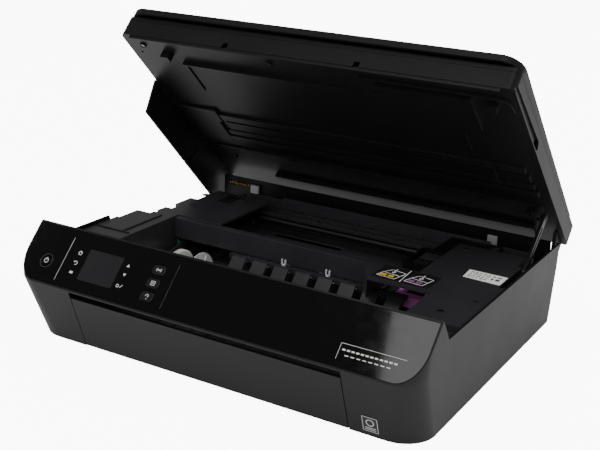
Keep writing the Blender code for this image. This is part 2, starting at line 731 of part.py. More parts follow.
def carriage(make):
    """Carriage with two cartridges and the snap clip in front of the left one."""
    low, high = CARRIAGE_X
    side = [
        (22.0, 47.0), (84.0, 47.0), (84.0, 68.0), (112.0, 68.0), (112.0, 82.0), (151.4, 82.0),
        (151.4, 85.4), (48.0, 85.4), (48.0, 54.0), (22.0, 54.0),
    ]
    bays = merged([box((x - 17.6, x + 17.6), (51.0, 97.0), (52.0, 100.0)) for x in (118.2, 157.8)])
    nozzles = merged([box((x - 11.0, x + 11.0), (56.0, 75.0), (40.0, 53.0)) for x in (118.2, 157.8)])
    make.add(
        "carriage",
        plate("X", side, (low, high)),
        "black",
        "carriage_slide",
        cuts=[bays, nozzles, rod("X", (low - 9, high + 9), (ROD_Y, ROD_Z), ROD_R + GAP, 16),
              box((low - 1, low + 12), (100.0, 160.0), (81.0, 90.0)),
              box((high - 12, high + 1), (113.0, 160.0), (81.0, 90.0))],
    )
    for name, x in (("colour_cartridge", 118.2), ("black_cartridge", 157.8)):
        make.add(name, box((x - 17.2, x + 17.2), (51.4, 96.6), (52.4, 83.0)), "black", "carriage_slide",
                 joins=[box((x - 10.6, x + 10.6), (56.4, 74.6), (46.0, 53.0))])
    for name, finish, x in (("colour_clip", "magenta", 118.0), ("black_clip", "grey", 158.5)):
        lip = box((x - 17.0, x + 17.0), (19.6, 21.7), (48.0, 60.0))
        tongue = box((x - 17.0, x - 13.0), (36.0, 47.6), (58.0, 66.0))
        make.add(
            name,
            box((x - 17.0, x + 17.0), (19.6, 47.6), (54.3, 60.0)),
            finish,
            "carriage_slide",
            joins=[lip, tongue],
            cuts=[box((x - 11.5, x + 11.5), (30.0, 60.0), (50.0, 70.0))],
        )
    belt_low, belt_high = BELT_Z - 3.0, BELT_Z + 3.0
    loops = []
    for radius in (PULLEY_R + 1.5, PULLEY_R + 0.3):
        right_end = arc((PULLEY_X[1], BELT_Y), radius, -90, 90, 8)
        loops.append(right_end + arc((PULLEY_X[0], BELT_Y), radius, 90, 270, 8))
    outer, inner = loops
    make.add("carriage_belt", plate("Z", outer, (belt_low, belt_high)), "rubber",
             cuts=[plate("Z", inner, (belt_low - 5, belt_high + 5))])
    for name, x in zip(("idler_pulley", "drive_pulley"), PULLEY_X):
        pulley = rod("Z", (BELT_Z - 3.2, BELT_Z + 3.4), (x, BELT_Y), PULLEY_R, 20)
        make.add(name, pulley, "steel", f"{name}_pin", smooth=True)


# ---- paper tray ----


def tray(make):
    """Input tray with its width guides, the output tray above it and the fold-down front door."""
    half = TRAY_HALF
    walls = [
        box((-half, -half + 2.0), (-148.0, 138.0), (8.0, 20.0)),
        box((half - 2.0, half), (-148.0, 138.0), (8.0, 20.0)),
        box((-144.0, 144.0), (-149.6, -147.0), (6.3, 20.0)),
    ]
    ears = []
    for side in (-1, 1):
        outline = arc((DOOR_AXIS_Y, DOOR_AXIS_Z), 2.3, 90, 270, 6)
        outline += [(-148.0, DOOR_AXIS_Z - 2.3), (-148.0, 9.0), (DOOR_AXIS_Y, 8.0)]
        ears.append(plate("X", outline, (side * 100.0 - 2.0, side * 100.0 + 2.0)))
        start = 101.5 if side > 0 else -107.5
        ears.append(rod("X", (start, start + 6.0), (DOOR_AXIS_Y, DOOR_AXIS_Z), 1.3, 10))
    make.add("paper_tray", box((-half, half), (-148.0, 138.0), (6.3, 8.3)), "inner", "tray_slide",
             joins=[merged(walls), merged([ears[0], ears[2]]), merged([ears[1], ears[3]])])
    make.add("output_tray", box((-half, half), (-149.6, -36.0), (20.4, 22.4)), "inner", "tray_slide",
             joins=[box((-30.0, 30.0), (-149.6, -146.6), (21.0, 26.0))])
    for hand, side in (("left", -1), ("right", 1)):
        x = sorted((side * 112.0, side * 110.2))
        foot = sorted((side * 112.0, side * 84.0))
        make.add(f"width_guide_{hand}", box(x, (-60.0, 20.0), (8.7, 19.8)), "grey", f"guide_{hand}",
                 joins=[box(foot, (-30.0, -16.0), (8.7, 9.9))])
    lean = FRONT_LEAN
    up = Vector((-math.sin(lean), math.cos(lean)))
    inward = Vector((math.cos(lean), math.sin(lean)))
    foot = Vector((FRONT_FOOT_Y, 0.0))
    top = DOOR_TOP_Z / math.cos(lean)
    corners = [foot + up * 2.4, foot + up * top]
    corners += [corner + inward * DOOR_THICK for corner in corners[::-1]]
    knuckles = []
    for side in (-1, 1):
        near = foot + up * DOOR_AXIS_UP + inward * (DOOR_THICK - 0.6)
        outline = arc((DOOR_AXIS_Y, DOOR_AXIS_Z), 2.4, -70, 110, 8)
        outline += [tuple(near + up * 5.0), tuple(near - up * 1.4)]
        start = 102.4 if side > 0 else -109.4
        knuckles.append(plate("X", outline, (start, start + 7.0)))
    make.add(
        "tray_door",
        plate("X", [tuple(c) for c in corners], (-DOOR_HALF, DOOR_HALF)),
        "casing",
        "door_hinge",
        joins=[merged(knuckles)],
        cuts=[rod("X", (-120.0, 120.0), (DOOR_AXIS_Y, DOOR_AXIS_Z), 1.7, 10)],
    )


# ---- scanner unit, drawn closed ----


def lid_plan(inset, corner=7.0):
    """Plan outline of the scanner unit, a little wider at the back."""
    return plan(LID_HALF_FRONT - inset, LID_HALF_REAR - inset, LID_FRONT_Y + inset, LID_REAR_Y - inset,
                max(corner - inset, 1.0), REAR_CORNER, 4)


def scanner_unit(make):
    """Lower housing with its underside features, side skirt, hinge arm, top frame, glass and scan bar."""
    floor = LID_FLOOR_Z
    pegs = [
        box((-173.0, -163.0), (-99.0, -91.0), (86.0, floor + 1)),
        box((189.0, 199.0), (-96.0, -88.0), (86.0, floor + 1)),
    ]
    ribs = [
        box((-153.0, 75.0), (-85.0, -83.0), (89.0, floor + 1)),
        box((77.0, 174.0), (-99.0, -97.0), (89.0, floor + 1)),
        box((-215.0, -164.0), (16.0, 76.0), (91.2, floor + 1)),
        box((-137.0, 190.0), (147.0, 160.0), (90.0, floor + 1)),
        box((-154.0, 205.0), (32.0, 46.0), (91.6, floor + 1)),
    ]
    boss_outline = arc((PROP_Y, PROP_Z), 4.6, 180, 360, 8)
    boss_outline += [(PROP_Y + 7.0, floor + 1), (PROP_Y - 7.0, floor + 1)]
    boss = plate("X", boss_outline, (203.6, 207.6))
    pin = rod("X", (207.0, 213.4), (PROP_Y, PROP_Z), 1.8, 12)
    make.add(
        "scanner_housing",
        loft([(floor, lid_plan(0.0)), (LID_SEAM_Z, lid_plan(0.0))]),
        "casing",
        "lid_hinge",
        cuts=[loft([(floor + WALL, lid_plan(WALL)), (LID_SEAM_Z + 5, lid_plan(WALL))])],
        joins=[merged(pegs), merged(ribs), boss, pin],
    )
    skirt = [(-34.0, 94.2), (-23.0, 57.7), (100.0, 53.5), (173.0, 52.2)]
    skirt += arc((HINGE_Y, HINGE_Z), 7.6, 240, 370, 8) + [(LID_REAR_Y, 76.0), (LID_REAR_Y, 94.2)]
    make.add("side_skirt", plate("X", skirt, (-220.9, -218.4)), "casing", "lid_hinge",
             cuts=[rod("X", (-230.0, -210.0), (HINGE_Y, HINGE_Z), 3.0 + GAP, 16)])
    arm = [(152.0, 94.2), (173.0, 63.0)]
    arm += arc((HINGE_Y, HINGE_Z), 7.6, 160, 380, 10) + [(LID_REAR_Y, 76.0), (LID_REAR_Y, 94.2)]
    make.add("hinge_arm", plate("X", arm, (210.6, 214.8)), "casing", "lid_hinge",
             cuts=[rod("X", (200.0, 230.0), (HINGE_Y, HINGE_Z), 3.0 + GAP, 16)])
    window = box((-160.0, 160.0), (-108.0, 122.0), (100.0, 130.0))
    knuckle = arc((COVER_HINGE_Y, COVER_HINGE_Z), 2.8, 0, 180, 8)
    knuckle += [(COVER_HINGE_Y - 2.8, LID_TOP_Z - 1), (COVER_HINGE_Y + 2.8, LID_TOP_Z - 1)]
    knuckles = [plate("X", knuckle, (x - 6.0, x + 6.0)) for x in (-150.0, 150.0)]
    pins = [rod("X", (x - 10.0, x + 10.0), (COVER_HINGE_Y, COVER_HINGE_Z), 1.2, 10) for x in (-150.0, 150.0)]
    make.add(
        "scanner_bezel",
        loft([(LID_SEAM_Z + GAP, lid_plan(0.0)), (LID_TOP_Z, lid_plan(0.0))]),
        "casing",
        "lid_hinge",
        joins=[merged(knuckles), merged(pins)],
        cuts=[window],
    )
    pane = box((-159.7, 159.7), (-107.7, 121.7), (LID_SEAM_Z + 1.2, LID_TOP_Z - 0.8))
    make.add("scanner_glass", pane, "glass", "lid_hinge")
    make.add("scan_bar", box((-190.0, -170.0), (-104.0, 118.0), (98.4, 110.6)), "black", "scan_slide",
             cuts=[box((-183.0, -177.0), (-100.0, 114.0), (108.6, 115.0))])
    arm_end = (PROP_Y, PROP_Z - PROP_LENGTH)
    bar = arc((PROP_Y, PROP_Z), 4.4, 0, 180, 8) + arc(arm_end, 3.6, 180, 360, 8)
    slot = arc((PROP_Y, PROP_Z - 14.0), 1.7, 0, 180, 4) + arc((PROP_Y, PROP_Z - 56.0), 1.7, 180, 360, 4)
    pivot_hole = rod("X", (200.0, 220.0), (PROP_Y, PROP_Z), 1.8 + GAP, 12)
    make.add(
        "prop_arm",
        plate("X", bar, PROP_X),
        "black",
        "prop_pivot",
        cuts=[plate("X", slot, (200.0, 220.0)), pivot_hole],
    )


def cover(make):
    """Document cover with its hinge lugs, and the white pad that presses the page to the glass."""
    outline = plan(COVER_HALF, COVER_HALF, COVER_FRONT_Y, COVER_HINGE_Y - 3.4, 20.0, 6.0, 6)
    inner = plan(COVER_HALF - 2.4, COVER_HALF - 2.4, COVER_FRONT_Y + 2.4, COVER_HINGE_Y - 5.8, 18.0, 4.0, 6)
    lugs = []
    for x in (-150.0, 150.0):
        for side in (-1, 1):
            span = sorted((x + side * 6.4, x + side * 11.0))
            shape = arc((COVER_HINGE_Y, COVER_HINGE_Z), 2.6, -90, 90, 8)
            shape += [(COVER_HINGE_Y - 5.0, COVER_HINGE_Z + 2.6), (COVER_HINGE_Y - 5.0, COVER_HINGE_Z - 2.6)]
            lugs.append(plate("X", shape, span))
    holes = rod("X", (-175.0, 175.0), (COVER_HINGE_Y, COVER_HINGE_Z), 1.2 + GAP, 10)
    make.add(
        "document_cover",
        loft([(COVER_Z[0], outline), (COVER_Z[1], outline)]),
        "casing",
        "cover_hinge",
        joins=[merged(lugs)],
        cuts=[holes, loft([(110.0, inner), (COVER_Z[1] - 2.2, inner)])],
    )
    pad = box((-152.0, 152.0), (-104.0, 118.0), (117.8, COVER_Z[1] - 2.5))
    make.add("backing_pad", pad, "white", "cover_hinge")


def hang_carriers(make):
    """An empty for the printer, one on each joint's axis, and one on the panel's slope."""
    make.carrier("printer")
    for name, pivot in (
        ("output_shaft", (0.0, OUT_Y, OUT_Z)),
        ("feed_shaft", (0.0, FEED_Y, FEED_Z)),
        ("idler_shaft", (0.0, IDLER_Y, IDLER_Z)),
        ("pinion_shaft", (0.0, PINION_Y, PINION_Z)),
        ("carriage_slide", (CARRIAGE_X[0], ROD_Y, ROD_Z)),
        ("idler_pulley_pin", (PULLEY_X[0], BELT_Y, BELT_Z)),
        ("drive_pulley_pin", (PULLEY_X[1], BELT_Y, BELT_Z)),
        ("tray_slide", (0.0, FRONT_FOOT_Y, 8.0)),
    ):
        make.carrier(name, pivot, "printer")
    make.carrier("door_hinge", (0.0, DOOR_AXIS_Y, DOOR_AXIS_Z), "tray_slide")
    make.carrier("guide_left", (-112.0, 0.0, 9.0), "tray_slide")
    make.carrier("guide_right", (112.0, 0.0, 9.0), "tray_slide")
    make.carrier("lid_hinge", (0.0, HINGE_Y, HINGE_Z), "printer", -LID_OPEN)
    make.carrier("scan_slide", (-180.0, 0.0, 104.0), "lid_hinge")
    make.carrier("cover_hinge", (0.0, COVER_HINGE_Y, COVER_HINGE_Z), "lid_hinge")
    make.carrier("prop_pivot", (211.0, PROP_Y, PROP_Z), "lid_hinge", PROP_OPEN_ANGLE + math.pi / 2)
    make.carrier("panel", (0.0, FRONT_Y, PANEL_LOW_Z), "printer", PANEL_SLOPE)


def centre_on_origin(make):
    """Moves the printer so that its own box stands on the origin, centred, as it is at rest."""
    bpy.context.view_layer.update()
    graph = bpy.context.evaluated_depsgraph_get()
    lows = [math.inf] * 2
    highs = [-math.inf] * 2
    for piece in make.parts.objects:
        if piece.type != "MESH":
            continue
        solid = piece.evaluated_get(graph)
        for vertex in solid.data.vertices:
            point = solid.matrix_world @ vertex.co
            for i in range(2):
                lows[i] = min(lows[i], point[i])
                highs[i] = max(highs[i], point[i])
    make.empties["printer"].location = (-(lows[0] + highs[0]) / 2, -(lows[1] + highs[1]) / 2, 0.0)
    bpy.context.view_layer.update()


def main():
    clear_scene()
    make = Builder()
    hang_carriers(make)
    base(make)
    casing(make)
    control_panel(make)
    decks(make)
    frames(make)
    star_wheels(make)
    electrics(make)
    paper_drive(make)
    carriage(make)
    tray(make)
    scanner_unit(make)
    cover(make)
    centre_on_origin(make)


main()
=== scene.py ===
"""All-in-one inkjet printer with its scanner unit propped open: finishes, fine shells and studio.

Fine pieces are drawn in millimetres on the printer's own datums, which are the base, the closed scanner
unit, the sloping panel, the leaning front and the prop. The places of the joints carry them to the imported
model's frame.
"""

from __future__ import annotations

import json
import logging
import math
from dataclasses import dataclass, field
from enum import Enum
from typing import Iterable, Sequence

import bmesh
import bpy
from mathutils import Matrix, Vector


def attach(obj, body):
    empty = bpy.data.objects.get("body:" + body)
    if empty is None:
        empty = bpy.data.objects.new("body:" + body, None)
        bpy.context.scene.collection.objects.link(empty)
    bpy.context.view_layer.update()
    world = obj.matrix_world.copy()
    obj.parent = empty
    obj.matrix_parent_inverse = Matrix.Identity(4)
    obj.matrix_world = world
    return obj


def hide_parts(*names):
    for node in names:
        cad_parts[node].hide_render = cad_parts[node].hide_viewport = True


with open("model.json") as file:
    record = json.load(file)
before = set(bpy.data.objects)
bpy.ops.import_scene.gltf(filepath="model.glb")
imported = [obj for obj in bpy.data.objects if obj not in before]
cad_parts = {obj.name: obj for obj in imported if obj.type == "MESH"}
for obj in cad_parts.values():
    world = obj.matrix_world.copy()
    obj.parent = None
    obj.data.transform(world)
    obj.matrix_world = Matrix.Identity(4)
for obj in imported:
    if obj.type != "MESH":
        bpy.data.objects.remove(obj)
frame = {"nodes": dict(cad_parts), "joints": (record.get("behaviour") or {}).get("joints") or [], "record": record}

logging.basicConfig(level=logging.INFO, format="%(message)s")
log = logging.getLogger("printer")

MM = 0.001

# Driving sizes of the printer on its base datum, in millimetres.
HINGE_Y, HINGE_Z = 180.0, 59.5
FRONT_Y, REAR_Y = -182.0, 182.0
FOOT_Y = -156.5
HALF_WIDTH = 220.5
PANEL_LOW_Z, PANEL_TOP_Y, PANEL_TOP_Z = 68.2, -137.5, 115.1
PANEL_RISE = PANEL_TOP_Z - PANEL_LOW_Z
PANEL_RUN = PANEL_TOP_Y - FRONT_Y
PANEL_LENGTH = math.hypot(PANEL_RISE, PANEL_RUN)
CORNER = 25.0
LID_FLOOR_Z = 94.5
PROP_Y, PROP_Z = 105.0, 86.4
PROP_LEAN = math.radians(-4.9)

Mesh = bmesh.types.BMesh
Tree = bpy.types.NodeTree
Socket = bpy.types.NodeSocket
Span = tuple[float, float]
Point = tuple[float, float]
Outline = Sequence[Point]


class Datum(Enum):
    """The system of coordinates that a piece is drawn in."""

    BASE = "printer standing on its feet"
    LID = "scanner unit closed"
    PANEL = "across and up the sloping control panel"
    FRONT = "across and up the leaning front below the panel"
    PROP = "prop arm hanging from the closed scanner unit"


@dataclass(frozen=True)
class Places:
    """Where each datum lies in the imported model's frame."""

    joints: dict[str, dict]

    def matrix(self, datum: Datum) -> Matrix:
        """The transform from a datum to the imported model's frame.

        Args:
            datum: The datum that the piece was drawn in.

        Returns:
            A matrix that takes its coordinates to metres in the row frame.
        """
        lid = self.joints["lid_swing"]
        hinge = Vector(lid["pos_m"])
        base = Matrix.Translation((0.0, hinge.y - HINGE_Y * MM, 0.0)) @ Matrix.Scale(MM, 4)
        if datum is Datum.BASE:
            return base
        if datum is Datum.PANEL:
            slope = Matrix.Rotation(math.atan2(PANEL_RISE, PANEL_RUN), 4, "X")
            return base @ Matrix.Translation((0.0, FRONT_Y, PANEL_LOW_Z)) @ slope
        if datum is Datum.FRONT:
            lean = Matrix.Rotation(math.atan2(PANEL_LOW_Z, FRONT_Y - FOOT_Y), 4, "X")
            return base @ Matrix.Translation((0.0, FOOT_Y, 0.0)) @ lean
        pivot = Matrix.Translation((0.0, HINGE_Y, HINGE_Z))
        swing = Matrix.Rotation(-math.radians(lid["range_deg"][1]), 4, "X")
        opened = base @ pivot @ swing @ pivot.inverted()
        if datum is Datum.LID:
            return opened
        arm = Matrix.Translation((0.0, PROP_Y, PROP_Z))
        return opened @ arm @ Matrix.Rotation(PROP_LEAN, 4, "X") @ arm.inverted()


PLACES = Places({joint["name"]: joint for joint in frame["joints"]})


# ---- finishes ----


def linear(code: str) -> tuple[float, float, float, float]:
    """An sRGB hex colour as linear RGBA."""
    channels = [int(code[i : i + 2], 16) / 255 for i in (0, 2, 4)]
    red, green, blue = (c / 12.92 if c <= 0.04045 else ((c + 0.055) / 1.055) ** 2.4 for c in channels)
    return (red, green, blue, 1.0)


def add_node(tree: Tree, kind: str, settings: dict | None = None, links: dict | None = None):
    """Adds a node with its settings and links.

    Args:
        tree: The material's node tree.
        kind: The node's type, such as ShaderNodeTexNoise.
        settings: Attributes, or values of input sockets by name.
        links: Output sockets to feed to input sockets, by name.

    Returns:
        The new node.
    """
    node = tree.nodes.new(kind)
    for name, value in (settings or {}).items():
        if hasattr(node, name):
            setattr(node, name, value)
        else:
            node.inputs[name].default_value = value
    for name, socket in (links or {}).items():
        tree.links.new(socket, node.inputs[name])
    return node


def noise_scale(size_mm: float) -> float:
    """The texture scale that gives grains of a size in millimetres on Object coordinates."""
    return 1.0 / (size_mm * MM)


def noise(tree: Tree, place: Socket, size_mm: float, detail: float = 2.0, roughness: float = 0.5) -> Socket:
    """Noise with grains of a size in millimetres."""
    settings = {"Scale": noise_scale(size_mm), "Detail": detail, "Roughness": roughness}
    return add_node(tree, "ShaderNodeTexNoise", settings, {"Vector": place}).outputs["Fac"]


def mapped(tree: Tree, value: Socket, to: Span, come_from: Span = (0.0, 1.0)) -> Socket:
    """A value taken from one range to another, and held inside it."""
    settings = {"From Min": come_from[0], "From Max": come_from[1], "To Min": to[0], "To Max": to[1]}
    return add_node(tree, "ShaderNodeMapRange", settings, {"Value": value}).outputs[0]


def two_tone(tree: Tree, value: Socket, tones: tuple[str, str], at: Span) -> Socket:
    """A colour that goes from one sRGB tone to another as a value passes between two points."""
    ramp = add_node(tree, "ShaderNodeValToRGB", None, {"Fac": value})
    for element, tone, position in zip(ramp.color_ramp.elements, tones, at):
        element.color = linear(tone)
        element.position = position
    return ramp.outputs["Color"]


def relief(tree: Tree, height: Socket, strength: float, depth_mm: float) -> Socket:
    """A bumped normal from a height."""
    settings = {"Strength": strength, "Distance": depth_mm * MM}
    return add_node(tree, "ShaderNodeBump", settings, {"Height": height}).outputs["Normal"]


class Finish:
    """A surface that can be built as a Blender material, made once."""

    name: str

    def material(self) -> bpy.types.Material:
        """The finish's material, built the first time it is asked for."""
        found = bpy.data.materials.get(self.name)
        if found:
            return found
        made = bpy.data.materials.new(self.name)
        made.use_nodes = True
        shader = made.node_tree.nodes["Principled BSDF"]
        place = add_node(made.node_tree, "ShaderNodeTexCoord").outputs["Object"]
        for name, socket in self.dress(made.node_tree, shader.inputs, place).items():
            made.node_tree.links.new(socket, shader.inputs[name])
        return made

    def dress(self, tree: Tree, shader: bpy.types.NodeInputs, place: Socket) -> dict[str, Socket]:
        """Sets the shader's even values and adds the pattern nodes.

        Args:
            tree: The material's node tree.
            shader: The shader's inputs.
            place: Object coordinates.

        Returns:
            The patterns, by the shader input that each one feeds.
        """
        raise NotImplementedError


@dataclass(frozen=True)
class MouldedPlastic(Finish):
    """ABS or polystyrene from a spark-eroded mould: an even fine grain that breaks up every highlight."""

    name: str
    colour: str
    lighter: str
    roughness: float = 0.5
    grain_mm: float = 0.7
    grain_depth: float = 0.25
    specular: float = 0.5

    def dress(self, tree: Tree, shader: bpy.types.NodeInputs, place: Socket) -> dict[str, Socket]:
        """Fine grain in the bump, slow drift in the gloss, and a trace of both in the colour."""
        shader["IOR"].default_value = 1.53
        shader["Specular IOR Level"].default_value = self.specular
        grain = noise(tree, place, self.grain_mm, 3.0, 0.6)
        drift = noise(tree, place, 55.0)
        both = add_node(tree, "ShaderNodeMath", {"operation": "MULTIPLY"}, {0: grain, 1: drift}).outputs[0]
        return {
            "Base Color": two_tone(tree, both, (self.colour, self.lighter), (0.12, 0.42)),
            "Roughness": mapped(tree, drift, (self.roughness - 0.02, self.roughness + 0.02), (0.3, 0.7)),
            "Normal": relief(tree, grain, self.grain_depth, 0.05),
        }


@dataclass(frozen=True)
class PolishedPlastic(Finish):
    """Acrylic or polished ABS: deep and glossy, with the faint waviness of a thin moulding."""

    name: str
    colour: str
    roughness: float = 0.06
    coat: float = 0.4
    wave_mm: float = 30.0
    wave_depth: float = 0.03

    def dress(self, tree: Tree, shader: bpy.types.NodeInputs, place: Socket) -> dict[str, Socket]:
        """Long soft waves in the bump, and a wiped, slightly uneven gloss."""
        shader["Base Color"].default_value = linear(self.colour)
        shader["IOR"].default_value = 1.49
        shader["Coat Weight"].default_value = self.coat
        shader["Coat Roughness"].default_value = 0.03
        wiped = noise(tree, place, 9.0, 4.0)
        return {
            "Roughness": mapped(tree, wiped, (self.roughness, self.roughness + 0.05), (0.35, 0.75)),
            "Normal": relief(tree, noise(tree, place, self.wave_mm, 1.0), self.wave_depth, 0.4),
        }


@dataclass(frozen=True)
class DrawnMetal(Finish):
    """Steel or brass drawn or ground along one direction: fine lines along X that stretch the highlight."""

    name: str
    colour: str
    roughness: float = 0.25
    line_mm: float = 0.15
    line_length_mm: float = 12.0

    def dress(self, tree: Tree, shader: bpy.types.NodeInputs, place: Socket) -> dict[str, Socket]:
        """Lines as noise stretched along X, in the bump and in the roughness."""
        shader["Base Color"].default_value = linear(self.colour)
        shader["Metallic"].default_value = 1.0
        across = noise_scale(self.line_mm)
        scale = (noise_scale(self.line_length_mm), across, across)
        stretched = add_node(tree, "ShaderNodeMapping", {"Scale": scale}, {"Vector": place}).outputs[0]
        settings = {"Scale": 1.0, "Detail": 2.0}
        lines = add_node(tree, "ShaderNodeTexNoise", settings, {"Vector": stretched}).outputs["Fac"]
        return {
            "Roughness": mapped(tree, lines, (self.roughness - 0.08, self.roughness + 0.12)),
            "Normal": relief(tree, lines, 0.15, 0.02),
        }


@dataclass(frozen=True)
class CuredRubber(Finish):
    """Moulded EPDM: dull, a little dusty, with a coarse skin."""

    name: str
    colour: str
    dusty: str = "3a3a3a"

    def dress(self, tree: Tree, shader: bpy.types.NodeInputs, place: Socket) -> dict[str, Socket]:
        """A mottled dusty skin over a coarse bump."""
        shader["Roughness"].default_value = 0.82
        dust = noise(tree, place, 3.0, 5.0)
        return {
            "Base Color": two_tone(tree, dust, (self.colour, self.dusty), (0.45, 1.0)),
            "Normal": relief(tree, dust, 0.3, 0.1),
        }


@dataclass(frozen=True)
class ClearGlass(Finish):
    """Float glass of the scanner bed: clear, flat and slightly green at its edge."""

    name: str

    def dress(self, tree: Tree, shader: bpy.types.NodeInputs, place: Socket) -> dict[str, Socket]:
        """Full transmission with a trace of polish haze."""
        shader["Base Color"].default_value = linear("e4efe9")
        shader["Transmission Weight"].default_value = 1.0
        shader["IOR"].default_value = 1.52
        return {"Roughness": mapped(tree, noise(tree, place, 25.0), (0.0, 0.04))}


@dataclass(frozen=True)
class CircuitBoard(Finish):
    """Green solder mask over copper: tracks show as a lighter green grid."""

    name: str

    def dress(self, tree: Tree, shader: bpy.types.NodeInputs, place: Socket) -> dict[str, Socket]:
        """A grid of tracks about two millimetres apart."""
        shader["Roughness"].default_value = 0.35
        settings = {"Scale": noise_scale(6.0), "Mortar Size": 0.03, "Brick Width": 1.4, "Row Height": 0.35}
        tracks = add_node(tree, "ShaderNodeTexBrick", settings, {"Vector": place})
        for part, tone in (("Color1", "14492a"), ("Color2", "185231"), ("Mortar", "4f8a58")):
            tracks.inputs[part].default_value = linear(tone)
        return {"Base Color": tracks.outputs["Color"]}


@dataclass(frozen=True)
class PrintedInk(Finish):
    """Screen-printed ink or label paper: flat, faintly uneven in cover."""

    name: str
    colour: str
    thin: str
    roughness: float = 0.55

    def dress(self, tree: Tree, shader: bpy.types.NodeInputs, place: Socket) -> dict[str, Socket]:
        """Ink cover drifts between two close tones."""
        shader["Roughness"].default_value = self.roughness
        cover = noise(tree, place, 1.2, 3.0)
        return {"Base Color": two_tone(tree, cover, (self.thin, self.colour), (0.3, 0.6))}


@dataclass(frozen=True)
class SweepPaper(Finish):
    """Backlit paper sweep under the printer: plain white, with a trace of fibre."""

    name: str
    glow: float = 9.0

    def dress(self, tree: Tree, shader: bpy.types.NodeInputs, place: Socket) -> dict[str, Socket]:
        """Faint fibre in the colour, and an even glow that doesn't light the printer."""
        shader["Roughness"].default_value = 0.8
        shader["Emission Color"].default_value = (1.0, 1.0, 1.0, 1.0)
        seen = add_node(tree, "ShaderNodeLightPath").outputs["Is Camera Ray"]
        return {
            "Base Color": mapped(tree, noise(tree, place, 2.0, 3.0), (0.9, 0.94)),
            "Emission Strength": mapped(tree, seen, (0.0, self.glow)),
        }


# Dark grey ABS of the outside: fine spark grain, so it looks satin and takes soft, broken highlights.
CASING = MouldedPlastic("spark_grain_abs_dark_grey", "0f0f10", "131314", 0.42, 0.7, 0.3, 0.32)
# The decks and inner mouldings: a finer grain, and a tone paler than the casing that is painted light, lifting
# them out of the shade.
INNER = MouldedPlastic("fine_grain_polystyrene_painted_lighter", "29292b", "313134", 0.34, 0.5, 0.2)
# Deep black mechanism parts in acetal blend: smoother, with soft streaks of light.
MECHANISM = MouldedPlastic("smooth_acetal_black", "0c0c0d", "121214", 0.28, 0.4, 0.12)
# Polished black overlay of the control panel: near black, with one clear reflection.
PANEL_GLOSS = PolishedPlastic("polished_acrylic_black", "050505", 0.05, 0.2)
# Unlit display behind its window: dark grey, and slightly frosted.
SCREEN = PolishedPlastic("display_window_smoked", "1e1e20", 0.2, 0.2, 12.0, 0.02)
# Touch keys: a dull black that stands out a little from the polished overlay.
KEY = MouldedPlastic("touch_key_satin_black", "0e0e10", "131315", 0.3, 0.35, 0.12)
# Symbols and lines printed on the panel: crisp off-white on black. The same ink paints the white hairline beside
# the power key, which is a painted highlight.
WHITE_INK = PrintedInk("screen_printed_white_ink", "d8d8d4", "bdbdba")
# Hairlines of the panel that only just show.
GREY_INK = PrintedInk("screen_printed_grey_ink", "5c5c5f", "48484b")
# Bright paper of the labels on the right deck.
LABEL = PrintedInk("label_paper_white", "efefec", "e2e2de", 0.6)
# Dark marks on the bright labels.
LABEL_INK = PrintedInk("label_ink_dark", "2a2a2c", "3c3c3e", 0.6)
# Dark sheets that show only by their own white lines.
SHEET_BLACK = PrintedInk("sheet_ink_black", "161618", "1c1c1e", 0.4)
# The two spots of colour in the instruction pictures.
LABEL_YELLOW = PrintedInk("label_ink_yellow", "d9b51f", "c8a31a", 0.6)
LABEL_MAUVE = PrintedInk("label_ink_mauve", "8a5a86", "7a4e77", 0.6)
# Bright ground steel, with its highlight stretched along X.
STEEL = DrawnMetal("ground_steel_rod", "b9babd", 0.22)
# The oiled guide rod and screws: a dark metal with one thin line of light.
DARK_STEEL = DrawnMetal("oiled_steel_rod", "4c4d50", 0.3)
# Grit coating of the feed roller: pale and matt. The same finish paints glints on the star wheel holder.
COATED = MouldedPlastic("grit_coated_roller_grey", "c6c7c9", "d2d3d5", 0.5, 0.4, 0.3)
# Hinge spring and pinion: warm metal with fine lines.
BRASS = DrawnMetal("drawn_brass_wire", "b58d3c", 0.3, 0.1, 3.0)
# Gears and discs: waxy natural white.
ACETAL = MouldedPlastic("natural_acetal_white", "dededb", "ecece8", 0.35, 0.8, 0.1)
# Small tabs and guides: plain mid grey. The same finish paints a pale curved reflection in the trough.
TAB_GREY = MouldedPlastic("mid_grey_abs", "8c8e91", "989a9d", 0.45, 0.7, 0.2)
# The colour cartridge's clip: the one strong colour.
MAGENTA = MouldedPlastic("magenta_polypropylene", "d86cc8", "e690d8", 0.38, 0.8, 0.12)
# Feet, belt and tyres: dull and dusty.
RUBBER = CuredRubber("cured_rubber_black", "1a1a1a")
# The scanner's pane: clear with a green edge.
GLASS = ClearGlass("float_glass_clear")
# The main board: green with pale tracks.
BOARD = CircuitBoard("circuit_board_green")


# ---- modelling ----

AXIS_TURN = {
    "X": Matrix.Rotation(math.pi / 2, 4, "Y"),
    "Y": Matrix.Rotation(-math.pi / 2, 4, "X"),
    "Z": Matrix.Identity(4),
}


def sharp_edges(mesh: Mesh, angle: float = 30.0) -> list[bmesh.types.BMEdge]:
    """The edges whose two faces meet at more than an angle in degrees."""
    limit = math.radians(angle)
    return [e for e in mesh.edges if len(e.link_faces) == 2 and e.calc_face_angle(0.0) > limit]


def ease(mesh: Mesh, radius: float, segments: int = 2, angle: float = 30.0) -> Mesh:
    """Rounds a mesh's sharp edges over a radius, in the mesh's own units."""
    if radius > 0:
        bmesh.ops.bevel(
            mesh,
            geom=sharp_edges(mesh, angle),
            offset=radius,
            offset_type="OFFSET",
            affect="EDGES",
            segments=segments,
            profile=0.5,
            material=-1,
            clamp_overlap=True,
        )
    return mesh


